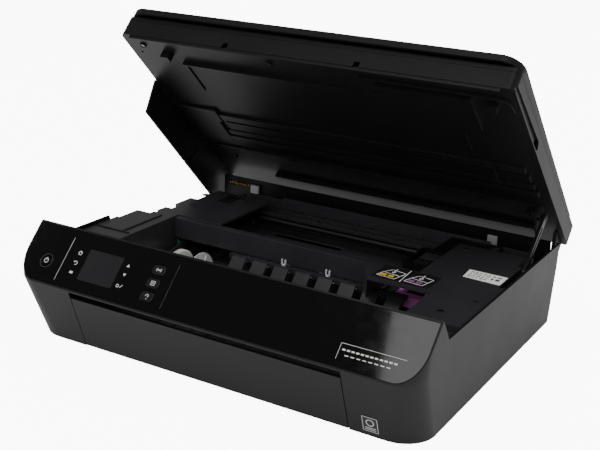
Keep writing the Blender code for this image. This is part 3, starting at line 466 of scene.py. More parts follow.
def block(x: Span, y: Span, z: Span, edge: float = 0.4, segments: int = 2) -> Mesh:
    """A box between low and high coordinates with eased edges."""
    mesh = bmesh.new()
    bmesh.ops.create_cube(mesh, size=1.0)
    bmesh.ops.scale(mesh, vec=(x[1] - x[0], y[1] - y[0], z[1] - z[0]), verts=mesh.verts)
    middle = Vector((x[0] + x[1], y[0] + y[1], z[0] + z[1])) / 2
    bmesh.ops.translate(mesh, vec=middle, verts=mesh.verts)
    return ease(mesh, edge, segments)


def rod(axis: str, span: Span, at: Point, radius: float, edge: float = 0.3, sides: int = 40) -> Mesh:
    """A cylinder along an axis with eased rims; at is its centre on the two other axes."""
    mesh = bmesh.new()
    length = span[1] - span[0]
    bmesh.ops.create_cone(mesh, cap_ends=True, segments=sides, radius1=radius, radius2=radius, depth=length)
    bmesh.ops.transform(mesh, matrix=AXIS_TURN[axis], verts=mesh.verts)
    middle = list(at)
    middle.insert("XYZ".index(axis), (span[0] + span[1]) / 2)
    bmesh.ops.translate(mesh, vec=middle, verts=mesh.verts)
    return ease(mesh, edge, 2, 50.0)


def ring(axis: str, span: Span, at: Point, outer: float, inner: float, sides: int = 40) -> Mesh:
    """A flat ring along an axis: a circle's wall spun once round."""
    mesh = bmesh.new()
    corners = [(inner, span[0]), (outer, span[0]), (outer, span[1]), (inner, span[1])]
    verts = [mesh.verts.new((r, 0.0, z)) for r, z in corners]
    wall = [mesh.edges.new((verts[i - 1], vert)) for i, vert in enumerate(verts)]
    whole_turn = {"cent": (0, 0, 0), "axis": (0, 0, 1), "angle": math.tau, "steps": sides, "use_merge": True}
    bmesh.ops.spin(mesh, geom=[*wall, *verts], **whole_turn)
    bmesh.ops.remove_doubles(mesh, verts=mesh.verts, dist=1e-4)
    bmesh.ops.recalc_face_normals(mesh, faces=mesh.faces)
    bmesh.ops.transform(mesh, matrix=AXIS_TURN[axis], verts=mesh.verts)
    middle = list(at)
    middle.insert("XYZ".index(axis), 0.0)
    bmesh.ops.translate(mesh, vec=middle, verts=mesh.verts)
    return mesh


def slab(axis: str, outline: Outline, span: Span, edge: float = 0.3, segments: int = 2) -> Mesh:
    """A flat outline on the two other axes, extruded along the axis and eased."""
    mesh = bmesh.new()
    order = "XYZ".index(axis)
    corners = []
    for first, second in outline:
        point = [first, second]
        point.insert(order, span[0])
        corners.append(mesh.verts.new(point))
    face = mesh.faces.new(corners)
    grown = bmesh.ops.extrude_face_region(mesh, geom=[face])["geom"]
    step = Vector([span[1] - span[0] if i == order else 0.0 for i in range(3)])
    bmesh.ops.translate(mesh, vec=step, verts=[g for g in grown if isinstance(g, bmesh.types.BMVert)])
    bmesh.ops.recalc_face_normals(mesh, faces=mesh.faces)
    return ease(mesh, edge, segments)


def arc(
    centre: Point, radius: float, start: float, end: float, steps: int, stretch: float = 1.0
) -> list[Point]:
    """Points of an arc between two angles in degrees, its height stretched."""
    angles = [math.radians(start + (end - start) * i / steps) for i in range(steps + 1)]
    return [(centre[0] + radius * math.cos(a), centre[1] + stretch * radius * math.sin(a)) for a in angles]


def rounded(x: Span, y: Span, radius: float, steps: int = 6) -> list[Point]:
    """A rounded rectangle's outline."""
    points: list[Point] = []
    corners = (
        (x[1], y[0], -1, 1, 270),
        (x[1], y[1], -1, -1, 0),
        (x[0], y[1], 1, -1, 90),
        (x[0], y[0], 1, 1, 180),
    )
    for cx, cy, sx, sy, start in corners:
        points += arc((cx + sx * radius, cy + sy * radius), radius, start, start + 90, steps)
    return points


def plan(
    half_front: float,
    half_rear: float,
    front: float,
    rear: float,
    corner: float,
    rear_corner: float,
    steps: int,
) -> list[Point]:
    """A plan outline with large front corners and small rear ones.

    Args:
        half_front: Half its width at the front.
        half_rear: Half its width at the back.
        front: Where its front edge lies.
        rear: Where its rear edge lies.
        corner: The front corners' radius.
        rear_corner: The rear corners' radius.
        steps: Edges round each front corner.

    Returns:
        The outline's points, once round.
    """
    outline = arc((-half_front + corner, front + corner), corner, 180, 270, steps)
    outline += arc((half_front - corner, front + corner), corner, 270, 360, steps)
    outline += arc((half_rear - rear_corner, rear - rear_corner), rear_corner, 0, 90, 3)
    outline += arc((-half_rear + rear_corner, rear - rear_corner), rear_corner, 90, 180, 3)
    return outline


def bridged(sections: Sequence[tuple[float, Outline]]) -> Mesh:
    """A closed body bridged through plan outlines given with their heights."""
    mesh = bmesh.new()
    loops = []
    for height, outline in sections:
        verts = [mesh.verts.new((x, y, height)) for x, y in outline]
        loops.append([mesh.edges.new((verts[i], verts[(i + 1) % len(verts)])) for i in range(len(verts))])
        if height in (sections[0][0], sections[-1][0]):
            mesh.faces.new(verts)
    for lower, upper in zip(loops, loops[1:]):
        bmesh.ops.bridge_loops(mesh, edges=lower + upper)
    bmesh.ops.recalc_face_normals(mesh, faces=mesh.faces)
    return mesh


def gathered(meshes: Iterable[Mesh]) -> Mesh:
    """Several shapes in one mesh."""
    whole = bmesh.new()
    for mesh in meshes:
        data = bpy.data.meshes.new("gathered")
        mesh.to_mesh(data)
        mesh.free()
        whole.from_mesh(data)
        bpy.data.meshes.remove(data)
    return whole


def carved(body: Mesh, tools: Sequence[tuple[str, Mesh]]) -> Mesh:
    """The body after Boolean steps.

    Args:
        body: The mesh to work on.
        tools: Pairs of an operation, such as DIFFERENCE, and its tool.

    Returns:
        A new mesh, with flat regions dissolved to single faces.
    """
    holder = bpy.data.objects.new("carving", bpy.data.meshes.new("carving"))
    body.to_mesh(holder.data)
    body.free()
    bpy.context.scene.collection.objects.link(holder)
    helpers = []
    for operation, tool in tools:
        data = bpy.data.meshes.new("tool")
        tool.to_mesh(data)
        tool.free()
        helper = bpy.data.objects.new("tool", data)
        bpy.context.scene.collection.objects.link(helper)
        helpers.append(helper)
        step = holder.modifiers.new("step", "BOOLEAN")
        step.operation = operation
        step.object = helper
        step.solver = "EXACT"
        step.use_self = operation == "UNION"
    evaluated = holder.evaluated_get(bpy.context.evaluated_depsgraph_get())
    result = bmesh.new()
    result.from_mesh(evaluated.to_mesh())
    evaluated.to_mesh_clear()
    for leftover in [holder, *helpers]:
        data = leftover.data
        bpy.data.objects.remove(leftover)
        bpy.data.meshes.remove(data)
    bmesh.ops.remove_doubles(result, verts=result.verts, dist=1e-4)
    bmesh.ops.dissolve_limit(result, angle_limit=math.radians(0.5), verts=result.verts, edges=result.edges)
    return result


def drawn(node: str, datum: Datum) -> Mesh:
    """A CAD node's shape on a datum, with its flat regions merged to single faces.

    Args:
        node: The CAD node's name.
        datum: The datum to express it in.

    Returns:
        The mesh, in the datum's millimetres.
    """
    mesh = bmesh.new()
    mesh.from_mesh(frame["nodes"][node].data)
    bmesh.ops.transform(mesh, matrix=PLACES.matrix(datum).inverted(), verts=mesh.verts)
    bmesh.ops.remove_doubles(mesh, verts=mesh.verts, dist=2e-3)
    bmesh.ops.dissolve_limit(mesh, angle_limit=math.radians(1.0), verts=mesh.verts, edges=mesh.edges)
    bmesh.ops.recalc_face_normals(mesh, faces=mesh.faces)
    return mesh


@dataclass
class Workshop:
    """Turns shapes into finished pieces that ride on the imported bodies."""

    made: list[bpy.types.Object] = field(default_factory=list)

    def finish(
        self,
        name: str,
        mesh: Mesh,
        datum: Datum,
        surface: Finish,
        body: str,
        stands_for: Sequence[str] = (),
    ) -> bpy.types.Object:
        """Places a shape in the row frame, dresses it and makes it ride.

        Args:
            name: The piece's name.
            mesh: Its shape, which is used up.
            datum: The datum that the shape was drawn in.
            surface: Its finish.
            body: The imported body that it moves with.
            stands_for: CAD nodes that it replaces.

        Returns:
            The finished object, at the origin.
        """
        bmesh.ops.transform(mesh, matrix=PLACES.matrix(datum), verts=mesh.verts)
        data = bpy.data.meshes.new(name)
        mesh.to_mesh(data)
        mesh.free()
        data.materials.append(surface.material())
        data.shade_smooth()
        data.set_sharp_from_angle(angle=math.radians(38.0))
        piece = bpy.data.objects.new(name, data)
        bpy.context.scene.collection.objects.link(piece)
        self.flatten_broad_faces(piece)
        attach(piece, body)
        if stands_for:
            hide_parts(*stands_for)
        self.made.append(piece)
        log.info("%s: %d faces on %s", name, len(piece.data.polygons), body)
        return piece

    def group(
        self, name: str, shapes: Iterable[Mesh], datum: Datum, surface: Finish, body: str
    ) -> bpy.types.Object:
        """Finishes several shapes as one piece that stands for no CAD node."""
        return self.finish(name, gathered(shapes), datum, surface, body)

    def flatten_broad_faces(self, piece: bpy.types.Object) -> None:
        """Gives each vertex the normal of its broadest face, so that flat faces look flat."""
        weigh = piece.modifiers.new("weigh", "WEIGHTED_NORMAL")
        weigh.keep_sharp = True
        weigh.weight = 100
        smooth = bpy.data.meshes.new_from_object(piece.evaluated_get(bpy.context.evaluated_depsgraph_get()))
        piece.modifiers.clear()
        rough, piece.data = piece.data, smooth
        bpy.data.meshes.remove(rough)
        smooth.name = piece.name

    def soften(self, node: str, surface: Finish, edge: float, segments: int = 2) -> bpy.types.Object:
        """A finished copy of a CAD node with rounded edges.

        Args:
            node: The CAD node's name.
            surface: Its finish.
            edge: How far its edges are rounded, in millimetres.
            segments: Faces across each rounded edge.

        Returns:
            The finished object, riding on the node's body.
        """
        record = frame["record"]
        body = next(name for name, nodes in record["behaviour"]["bodies"].items() if node in nodes)
        shape = ease(drawn(node, Datum.BASE), edge, segments)
        return self.finish(f"{node}_finished", shape, Datum.BASE, surface, body, [node])


# ---- casing and panel ----


@dataclass
class Casing:
    """Walls, front corners and the beam behind the sloping panel."""

    wall: float = 2.5
    steps: int = 18

    def sections(self, inset: float, low: float) -> list[tuple[float, Outline]]:
        """Plan outlines of the body from its foot up."""
        lean = (FOOT_Y - FRONT_Y) / PANEL_LOW_Z
        foot_front = FOOT_Y - lean * low
        rows = (
            (low, 216.5, 217.0, foot_front, 32.0),
            (PANEL_LOW_Z, 220.0, 220.0, FRONT_Y, CORNER),
            (125.0, HALF_WIDTH, HALF_WIDTH, FRONT_Y, CORNER),
        )
        found = []
        for height, half_front, half_rear, front, corner in rows:
            sides = (half_front - inset, half_rear - inset, front + inset, REAR_Y - inset)
            found.append((height, plan(*sides, corner - inset, 3.0, self.steps)))
        return found

    def side(self, inset: float, low: float) -> list[Point]:
        """The front of the body seen from the side."""
        return [
            (FOOT_Y + 1.07 * inset - 0.374 * low, low),
            (FRONT_Y + 1.17 * inset, PANEL_LOW_Z + 0.25 * inset),
            (PANEL_TOP_Y - 0.3 * inset, PANEL_TOP_Z - 1.5 * inset),
        ]

    def build(self, shop: Workshop, panel: "ControlPanel") -> None:
        """Builds the casing with eased edges in place of the CAD one."""
        outer = self.side(0.0, 1.5) + [(-122.0, 93.0), (187.0, 93.0), (187.0, 1.5)]
        inner = self.side(self.wall, -5.0) + [
            (-125.1, 92.0), (-125.1, 80.0), (-122.0, 80.0), (-122.0, 140.0), (179.5, 140.0), (179.5, -5.0),
        ]
        inside = bridged(self.sections(self.wall, -5.0))
        hollow = carved(slab("X", inner, (-300, 300), 0), [("INTERSECT", inside)])
        slope = PLACES.matrix(Datum.BASE).inverted() @ PLACES.matrix(Datum.PANEL)
        recess = slab("Z", panel.outline(-0.4), (-panel.thick - 0.3, 8.0), 0)
        holes = panel.holes(0.5)
        for tool in (recess, holes):
            bmesh.ops.transform(tool, matrix=slope, verts=tool.verts)
        skirt_room = [(-36.0, 150.0), (-36.0, 92.0), (-25.0, 56.0), (190.0, 50.5), (190.0, 150.0)]
        body = carved(
            bridged(self.sections(0.0, 1.5)),
            [
                ("INTERSECT", slab("X", outer, (-300, 300), 0)),
                ("DIFFERENCE", hollow),
                ("DIFFERENCE", block((-149.0, 149.0), (-220.0, -150.0), (-5.0, PANEL_LOW_Z - 1.6), 0)),
                ("DIFFERENCE", slab("X", skirt_room, (-240.0, -212.0), 0)),
                ("DIFFERENCE", block((-217.9, -203.2), (176.0, 200.0), (50.5, 68.5), 0)),
                ("DIFFERENCE", block((203.2, 217.2), (176.0, 200.0), (50.5, 68.5), 0)),
                ("DIFFERENCE", block((209.9, 215.6), (176.0, 200.0), (60.0, 150.0), 0)),
                ("DIFFERENCE", block((119.6, 145.4), (170.0, 200.0), (19.6, 37.4), 0)),
                ("DIFFERENCE", block((-150.4, -135.6), (170.0, 200.0), (19.6, 32.4), 0)),
                ("DIFFERENCE", recess),
                ("DIFFERENCE", holes),
            ],
        )
        ease(body, 0.55, 2, 35.0)
        shop.finish("casing_shell", body, Datum.BASE, CASING, "body", ["outer_casing"])


@dataclass
class ControlPanel:
    """Polished overlay, display, buttons and the white print on them."""

    thick: float = 1.6
    power_at: Point = (-190.3, 24.0)
    power_radius: float = 5.7
    keys: dict[str, tuple[float, float]] = field(
        default_factory=lambda: {
            "wireless_key": (-61.8, 44.0),
            "web_print_key": (-61.8, 30.0),
            "help_key": (-61.8, 16.0),
        }
    )
    key_body: dict[str, str] = field(
        default_factory=lambda: {"wireless_key": "key_a", "web_print_key": "key_b", "help_key": "key_c"}
    )
    screen_at: Point = (-125.6, 30.4)
    screen_half: tuple[float, float] = (20.6, 16.6)
    ink: float = 0.06

    def outline(self, inset: float, steps: int = 20) -> Outline:
        """The overlay's edge, with its long sweeping lower corners."""
        half = HALF_WIDTH - 2.4 - inset
        low, high = 2.2 + inset, PANEL_LENGTH - 2.4 - inset
        stretch = PANEL_LENGTH / PANEL_RUN
        radius = CORNER - 2.4
        left = arc((-half + radius, low + radius * stretch), radius, 180, 270, steps, stretch)
        right = arc((half - radius, low + radius * stretch), radius, 270, 360, steps, stretch)
        return left + right + [(half, high), (-half, high)]

    def holes(self, extra: float) -> Mesh:
        """Tools that open the panel for its buttons."""
        tools = [rod("Z", (-12.0, 8.0), self.power_at, 6.2 + extra, 0)]
        for x, y in self.keys.values():
            wide, tall = 7.2 + extra, 5.4 + extra
            opening = rounded((x - wide, x + wide), (y - tall, y + tall), 3.0)
            tools.append(slab("Z", opening, (-12.0, 8.0), 0))
        return gathered(tools)

    def bar(self, x: Span, y: Span, height: float = 0.0) -> Mesh:
        """A thin printed bar on the panel's face."""
        return block(x, y, (height, height + self.ink), 0)

    def build(self, shop: Workshop) -> None:
        """Builds the overlay, the display, the buttons and their print."""
        sx, sy = self.screen_at
        hx, hy = self.screen_half
        opening = rounded((sx - hx - 0.3, sx + hx + 0.3), (sy - hy - 0.3, sy + hy + 0.3), 1.2)
        window = slab("Z", opening, (-8.0, 8.0), 0)
        sheet = slab("Z", self.outline(0.0), (-self.thick, 0.0), 0)
        overlay = carved(sheet, [("DIFFERENCE", self.holes(0.4)), ("DIFFERENCE", window)])
        ease(overlay, 0.35, 2, 35.0)
        shop.finish("panel_gloss", overlay, Datum.PANEL, PANEL_GLOSS, "body", ["panel_overlay"])
        screen = slab("Z", rounded((sx - hx, sx + hx), (sy - hy, sy + hy), 0.9), (-self.thick, -0.1), 0.15)
        shop.finish("display_glass", screen, Datum.PANEL, SCREEN, "body", ["display_window"])
        px, py = self.power_at
        cap = rod("Z", (-6.0, 0.4), self.power_at, self.power_radius, 0.5)
        shop.finish("power_cap", cap, Datum.PANEL, PANEL_GLOSS, "power_key", ["power_button"])
        stem = block((px - 0.3, px + 0.3), (py + 0.4, py + 3.2), (0.4, 0.47), 0)
        mark = [ring("Z", (0.4, 0.46), (px, py), 2.6, 2.05, 32), stem]
        shop.group("power_mark", mark, Datum.PANEL, WHITE_INK, "power_key")
        halo = ring("Z", (0.0, 0.05), (px, py), 7.3, 7.05, 48)
        shop.finish("power_halo", halo, Datum.PANEL, GREY_INK, "body")
        for name, (x, y) in self.keys.items():
            cap = slab("Z", rounded((x - 6.8, x + 6.8), (y - 5.0, y + 5.0), 2.6), (-6.0, 0.5), 0.45)
            shop.finish(f"{name}_cap", cap, Datum.PANEL, KEY, self.key_body[name], [name])
            mark = self.key_mark(name, x, y)
            shop.finish(f"{name}_mark", mark, Datum.PANEL, WHITE_INK, self.key_body[name])
        self.print_marks(shop)

    def key_mark(self, name: str, x: float, y: float) -> Mesh:
        """A plain symbol on a key: waves, a sheet, or a ring with a dot."""
        ink = (0.5, 0.5 + self.ink)
        if name == "wireless_key":
            waves = []
            for radius in (1.4, 2.8):
                for start in (-40, 140):
                    outer = arc((x, y), radius, start, start + 80, 8)
                    inner = arc((x, y), radius - 0.5, start + 80, start, 8)
                    waves.append(slab("Z", outer + inner, ink, 0))
            return gathered([*waves, rod("Z", ink, (x, y), 0.55, 0, 16)])
        if name == "web_print_key":
            bars = (
                (-2.4, 2.4, -2.3, -1.8),
                (-2.4, 2.4, 1.8, 2.3),
                (-2.4, -1.9, -2.3, 2.3),
                (1.9, 2.4, -2.3, 2.3),
                (-1.2, 1.2, -0.8, -0.35),
                (-1.2, 1.2, 0.4, 0.85),
            )
            return gathered(block((x + x0, x + x1), (y + y0, y + y1), ink, 0) for x0, x1, y0, y1 in bars)
        crook = arc((x, y + 0.8), 1.7, 200, -60, 14) + arc((x, y + 0.8), 1.15, -60, 200, 14)
        return gathered([slab("Z", crook, ink, 0), rod("Z", ink, (x + 0.3, y - 2.3), 0.45, 0, 16)])

    def print_marks(self, shop: Workshop) -> None:
        """White and grey print on the overlay, and one white hairline that is a painted highlight."""
        ink = (0, self.ink)
        x = -156.0
        roof = [(x - 2.6, 40.6), (x, 43.0), (x + 2.6, 40.6), (x + 2.0, 40.0), (x, 41.9), (x - 2.0, 40.0)]
        walls = [(-1.8, -1.2, (38.4, 40.4)), (1.2, 1.8, (38.4, 40.4)), (-1.8, 1.8, (38.2, 38.8))]
        turn = arc((x, 29.4), 2.1, -120, 150, 18) + arc((x, 29.4), 1.5, 150, -120, 18)
        tip = [(x - 3.0, 30.6), (x - 0.8, 31.6), (x - 1.4, 29.4)]
        tick = [(-95.4, 17.0), (-94.8, 17.0), (-92.6, 20.4), (-93.3, 20.4)]
        marks = {
            "home": [slab("Z", roof, ink, 0), *(self.bar((x + low, x + high), y) for low, high, y in walls)],
            "back": [slab("Z", turn, ink, 0), slab("Z", tip, ink, 0)],
            "info": [self.bar((x - 1.9, x + 1.9), (18.0, 20.2))],
            "up": [slab("Z", [(-98.4, 39.0), (-94.8, 39.0), (-96.6, 42.0)], ink, 0)],
            "down": [slab("Z", [(-94.6, 31.9), (-98.0, 31.9), (-96.3, 29.0)], ink, 0)],
            "accept": [ring("Z", ink, (-98.2, 18.6), 1.7, 1.1, 24), slab("Z", tick, ink, 0)],
        }
        for name, shapes in marks.items():
            shop.group(f"{name}_mark", shapes, Datum.PANEL, WHITE_INK, "body")
        # The white hairline at x -170.7 is a painted highlight, not print; the strip of dashes beside it is print.
        lines = [self.bar((-170.9, -170.55), (7.2, 54.4)), *self.strip()]
        shop.group("panel_print_and_painted_highlight", lines, Datum.PANEL, WHITE_INK, "body")
        divider = self.bar((-43.1, -42.9), (8.0, 54.3))
        shop.finish("key_divider", divider, Datum.PANEL, GREY_INK, "body")

    def strip(self) -> list[Mesh]:
        """A plain two-row strip of dashes framed by a hairline."""
        marks = [self.bar((141.0, 141.35), (9.0, 24.0)), self.bar((141.0, 202.0), (23.65, 24.0))]
        rows = ((144.0, 4.4, 3.0, 1.5), (148.0, 5.6, 3.6, 0.9))
        for row, (start, pitch, length, height) in enumerate(rows):
            y = 17.6 - row * 4.4
            for i in range(12 - 4 * row):
                x = start + i * pitch
                marks.append(self.bar((x, x + length), (y, y + height)))
        return marks


# ---- fixed pieces under the open scanner unit ----


@dataclass
class FrontDoor:
    """Fold-down door of the paper tray, and the outlined label on the casing beside it."""

    label_x: Span = (163.0, 179.5)
    label_up: Span = (7.0, 26.0)

    def build(self, shop: Workshop) -> None:
        """Builds the door and the label on the casing beside it."""
        shop.soften("tray_door", CASING, 0.8, 3)
        x, up = self.label_x, self.label_up
        paper = slab("Z", rounded(x, up, 0.8, 3), (0.05, 0.22), 0)
        shop.finish("casing_label", paper, Datum.FRONT, SHEET_BLACK, "body")
        ink = (0.22, 0.28)
        middle = (x[0] + x[1]) / 2
        across, along = (x[0] + 0.8, x[1] - 0.8), (up[0] + 0.8, up[1] - 0.8)
        edges = [block(across, (low, low + 0.5), ink, 0) for low in (up[0] + 0.8, up[1] - 1.3)]
        edges += [block((low, low + 0.5), along, ink, 0) for low in (x[0] + 0.8, x[1] - 1.3)]
        mark = ring("Z", ink, (middle, up[1] - 7.4), 4.0, 3.1, 32)
        rows = [block((x[0] + 3.0, x[1] - 3.0), (up[0] + h, up[0] + h + 0.7), ink, 0) for h in (3.0, 5.0)]
        shop.group("casing_label_print", [*edges, mark, *rows], Datum.FRONT, WHITE_INK, "body")


@dataclass
class Decks:
    """Left and right decks, the beam over the paper path, and the labels stuck on the right deck."""

    sheet: tuple[Span, Span] = ((93.4, 153.6), (-17.4, 17.9))
    top: float = 89.0
    screws: tuple[tuple[float, float, float], ...] = (
        (-185.0, 100.0, 90.0),
        (-176.0, 60.0, 90.0),
        (-140.0, 110.0, 90.0),
        (140.0, 112.0, 89.0),
        (186.0, -60.0, 89.0),
    )

    def build(self, shop: Workshop) -> None:
        """Builds the decks, their screws and vents, and the labels."""
        shop.soften("left_deck", INNER, 0.9, 3)
        shop.soften("right_deck", INNER, 0.8, 3)
        shop.soften("paper_path_cover", INNER, 0.6)
        shop.soften("left_stop_tab", TAB_GREY, 0.6)
        shop.soften("right_stop_tab", TAB_GREY, 0.6)
        self.build_screws(shop)
        self.build_instructions(shop)
        self.build_rating_label(shop)

    def build_screws(self, shop: Workshop) -> None:
        """Cross-head screws with their raised rings, and a row of vents on the left deck."""
        screws, bosses = [], []
        for x, y, z in self.screws:
            bosses.append(ring("Z", (z - 0.2, z + 0.5), (x, y), 4.4, 3.0, 28))
            head = rod("Z", (z - 0.1, z + 0.8), (x, y), 2.6, 0.5, 24)
            slots = [
                ("DIFFERENCE", block((x - dx, x + dx), (y - dy, y + dy), (z + 0.3, z + 1.4), 0))
                for dx, dy in ((1.5, 0.25), (0.25, 1.5))
            ]
            screws.append(carved(head, slots))
        shop.group("deck_screw_bosses", bosses, Datum.BASE, INNER, "body")
        shop.group("deck_screws", screws, Datum.BASE, DARK_STEEL, "body")
        ribs = [rounded((x, x + 2.4), (88.0, 116.0), 1.1, 3) for x in (-160.0, -154.0, -148.0)]
        slats = [slab("Z", rib, (90.0, 90.9), 0.3) for rib in ribs]
        steps = [
            block((-214.4, -170.0), (-64.0, -61.6), (90.0, 90.9), 0.3),
            block((-180.4, -178.0), (-61.0, 6.0), (90.0, 90.9), 0.3),
        ]
        shop.group("left_deck_ribs", [*slats, *steps], Datum.BASE, CASING, "body")

    def build_instructions(self, shop: Workshop) -> None:
        """Black sheet with two outlined pictures of how a cartridge goes in, in plain shapes."""
        (x0, x1), (y0, y1) = self.sheet
        z = self.top
        paper = slab("Z", rounded(self.sheet[0], self.sheet[1], 1.0, 3), (z + 0.02, z + 0.16), 0)
        shop.finish("instruction_sheet", paper, Datum.BASE, SHEET_BLACK, "body")
        ink = (z + 0.16, z + 0.22)
        middle = (x0 + x1) / 2
        strokes = [self.stroke((middle, y0 + 1), (middle - 2.5, y1 - 1), ink, 0.8)]
        base_lines = [(0.0, 6.0), (20.0, 4.0), (22.0, 14.0), (3.0, 17.0), (0.0, 6.0)]
        lid_lines = [(3.0, 17.0), (8.0, 27.0), (24.0, 24.0), (22.0, 14.0)]
        head = [(12.0, 17.5), (14.4, 21.4), (9.6, 21.4)]
        for start in (x0 + 3.0, middle + 2.5):
            placed = [[(start + x, y0 + y) for x, y in line] for line in (base_lines, lid_lines, head)]
            base, lid, tip = placed
            for line in (base, lid):
                strokes += [self.stroke(a, b, ink, 0.8) for a, b in zip(line, line[1:])]
            strokes.append(self.stroke((start + 12.0, y0 + 30.0), (start + 12.0, y0 + 20.0), ink, 1.0))
            strokes.append(slab("Z", tip, ink, 0))
        shop.group("instruction_lines", strokes, Datum.BASE, LABEL, "body")
        spots = (("picture_left", LABEL_YELLOW, x0 + 5.0), ("picture_right", LABEL_MAUVE, middle + 5.0))
        for name, surface, x in spots:
            body = [
                block((x, x + 7.0), (y0 + 7.6, y0 + 13.0), ink, 0),
                block((x + 9.0, x + 15.0), (y0 + 7.2, y0 + 12.4), ink, 0),
            ]
            shop.group(name, body, Datum.BASE, surface, "body")

    def stroke(self, start: tuple[float, float], end: tuple[float, float], span: Span, width: float) -> Mesh:
        """A printed line between two points of the deck."""
        along = Vector((end[0] - start[0], end[1] - start[1])).normalized() * (width / 2)
        side = Vector((-along.y, along.x))
        near, far = Vector(start) - along, Vector(end) + along
        corners = (near - side, far - side, far + side, near + side)
        return slab("Z", [tuple(corner) for corner in corners], span, 0)

    def build_rating_label(self, shop: Workshop) -> None:
        """White label with rows of dark dashes and a grid of squares."""
        z = self.top
        outline = [(168.4, 34.5), (207.2, 33.0), (207.2, 57.4), (166.6, 57.4)]
        paper = slab("Z", outline, (z + 0.02, z + 0.16), 0)
        shop.finish("rating_label", paper, Datum.BASE, LABEL, "body")
        marks = []
        ink = (z + 0.16, z + 0.22)
        for row in range(4):
            y = 38.0 + row * 4.6
            for i in range(5):
                x = 171.0 + i * 4.4
                marks.append(block((x, x + 3.2 - (row + i) % 3 * 0.7), (y, y + 1.5), ink, 0))
        for i in range(5):
            for j in range(5):
                if (i * 3 + j * 5 + i * j) % 3:
                    x, y = 194.5 + i * 2.1, 38.0 + j * 3.0
                    marks.append(block((x, x + 1.9), (y, y + 2.7), ink, 0))
        shop.group("rating_label_print", marks, Datum.BASE, LABEL_INK, "body")


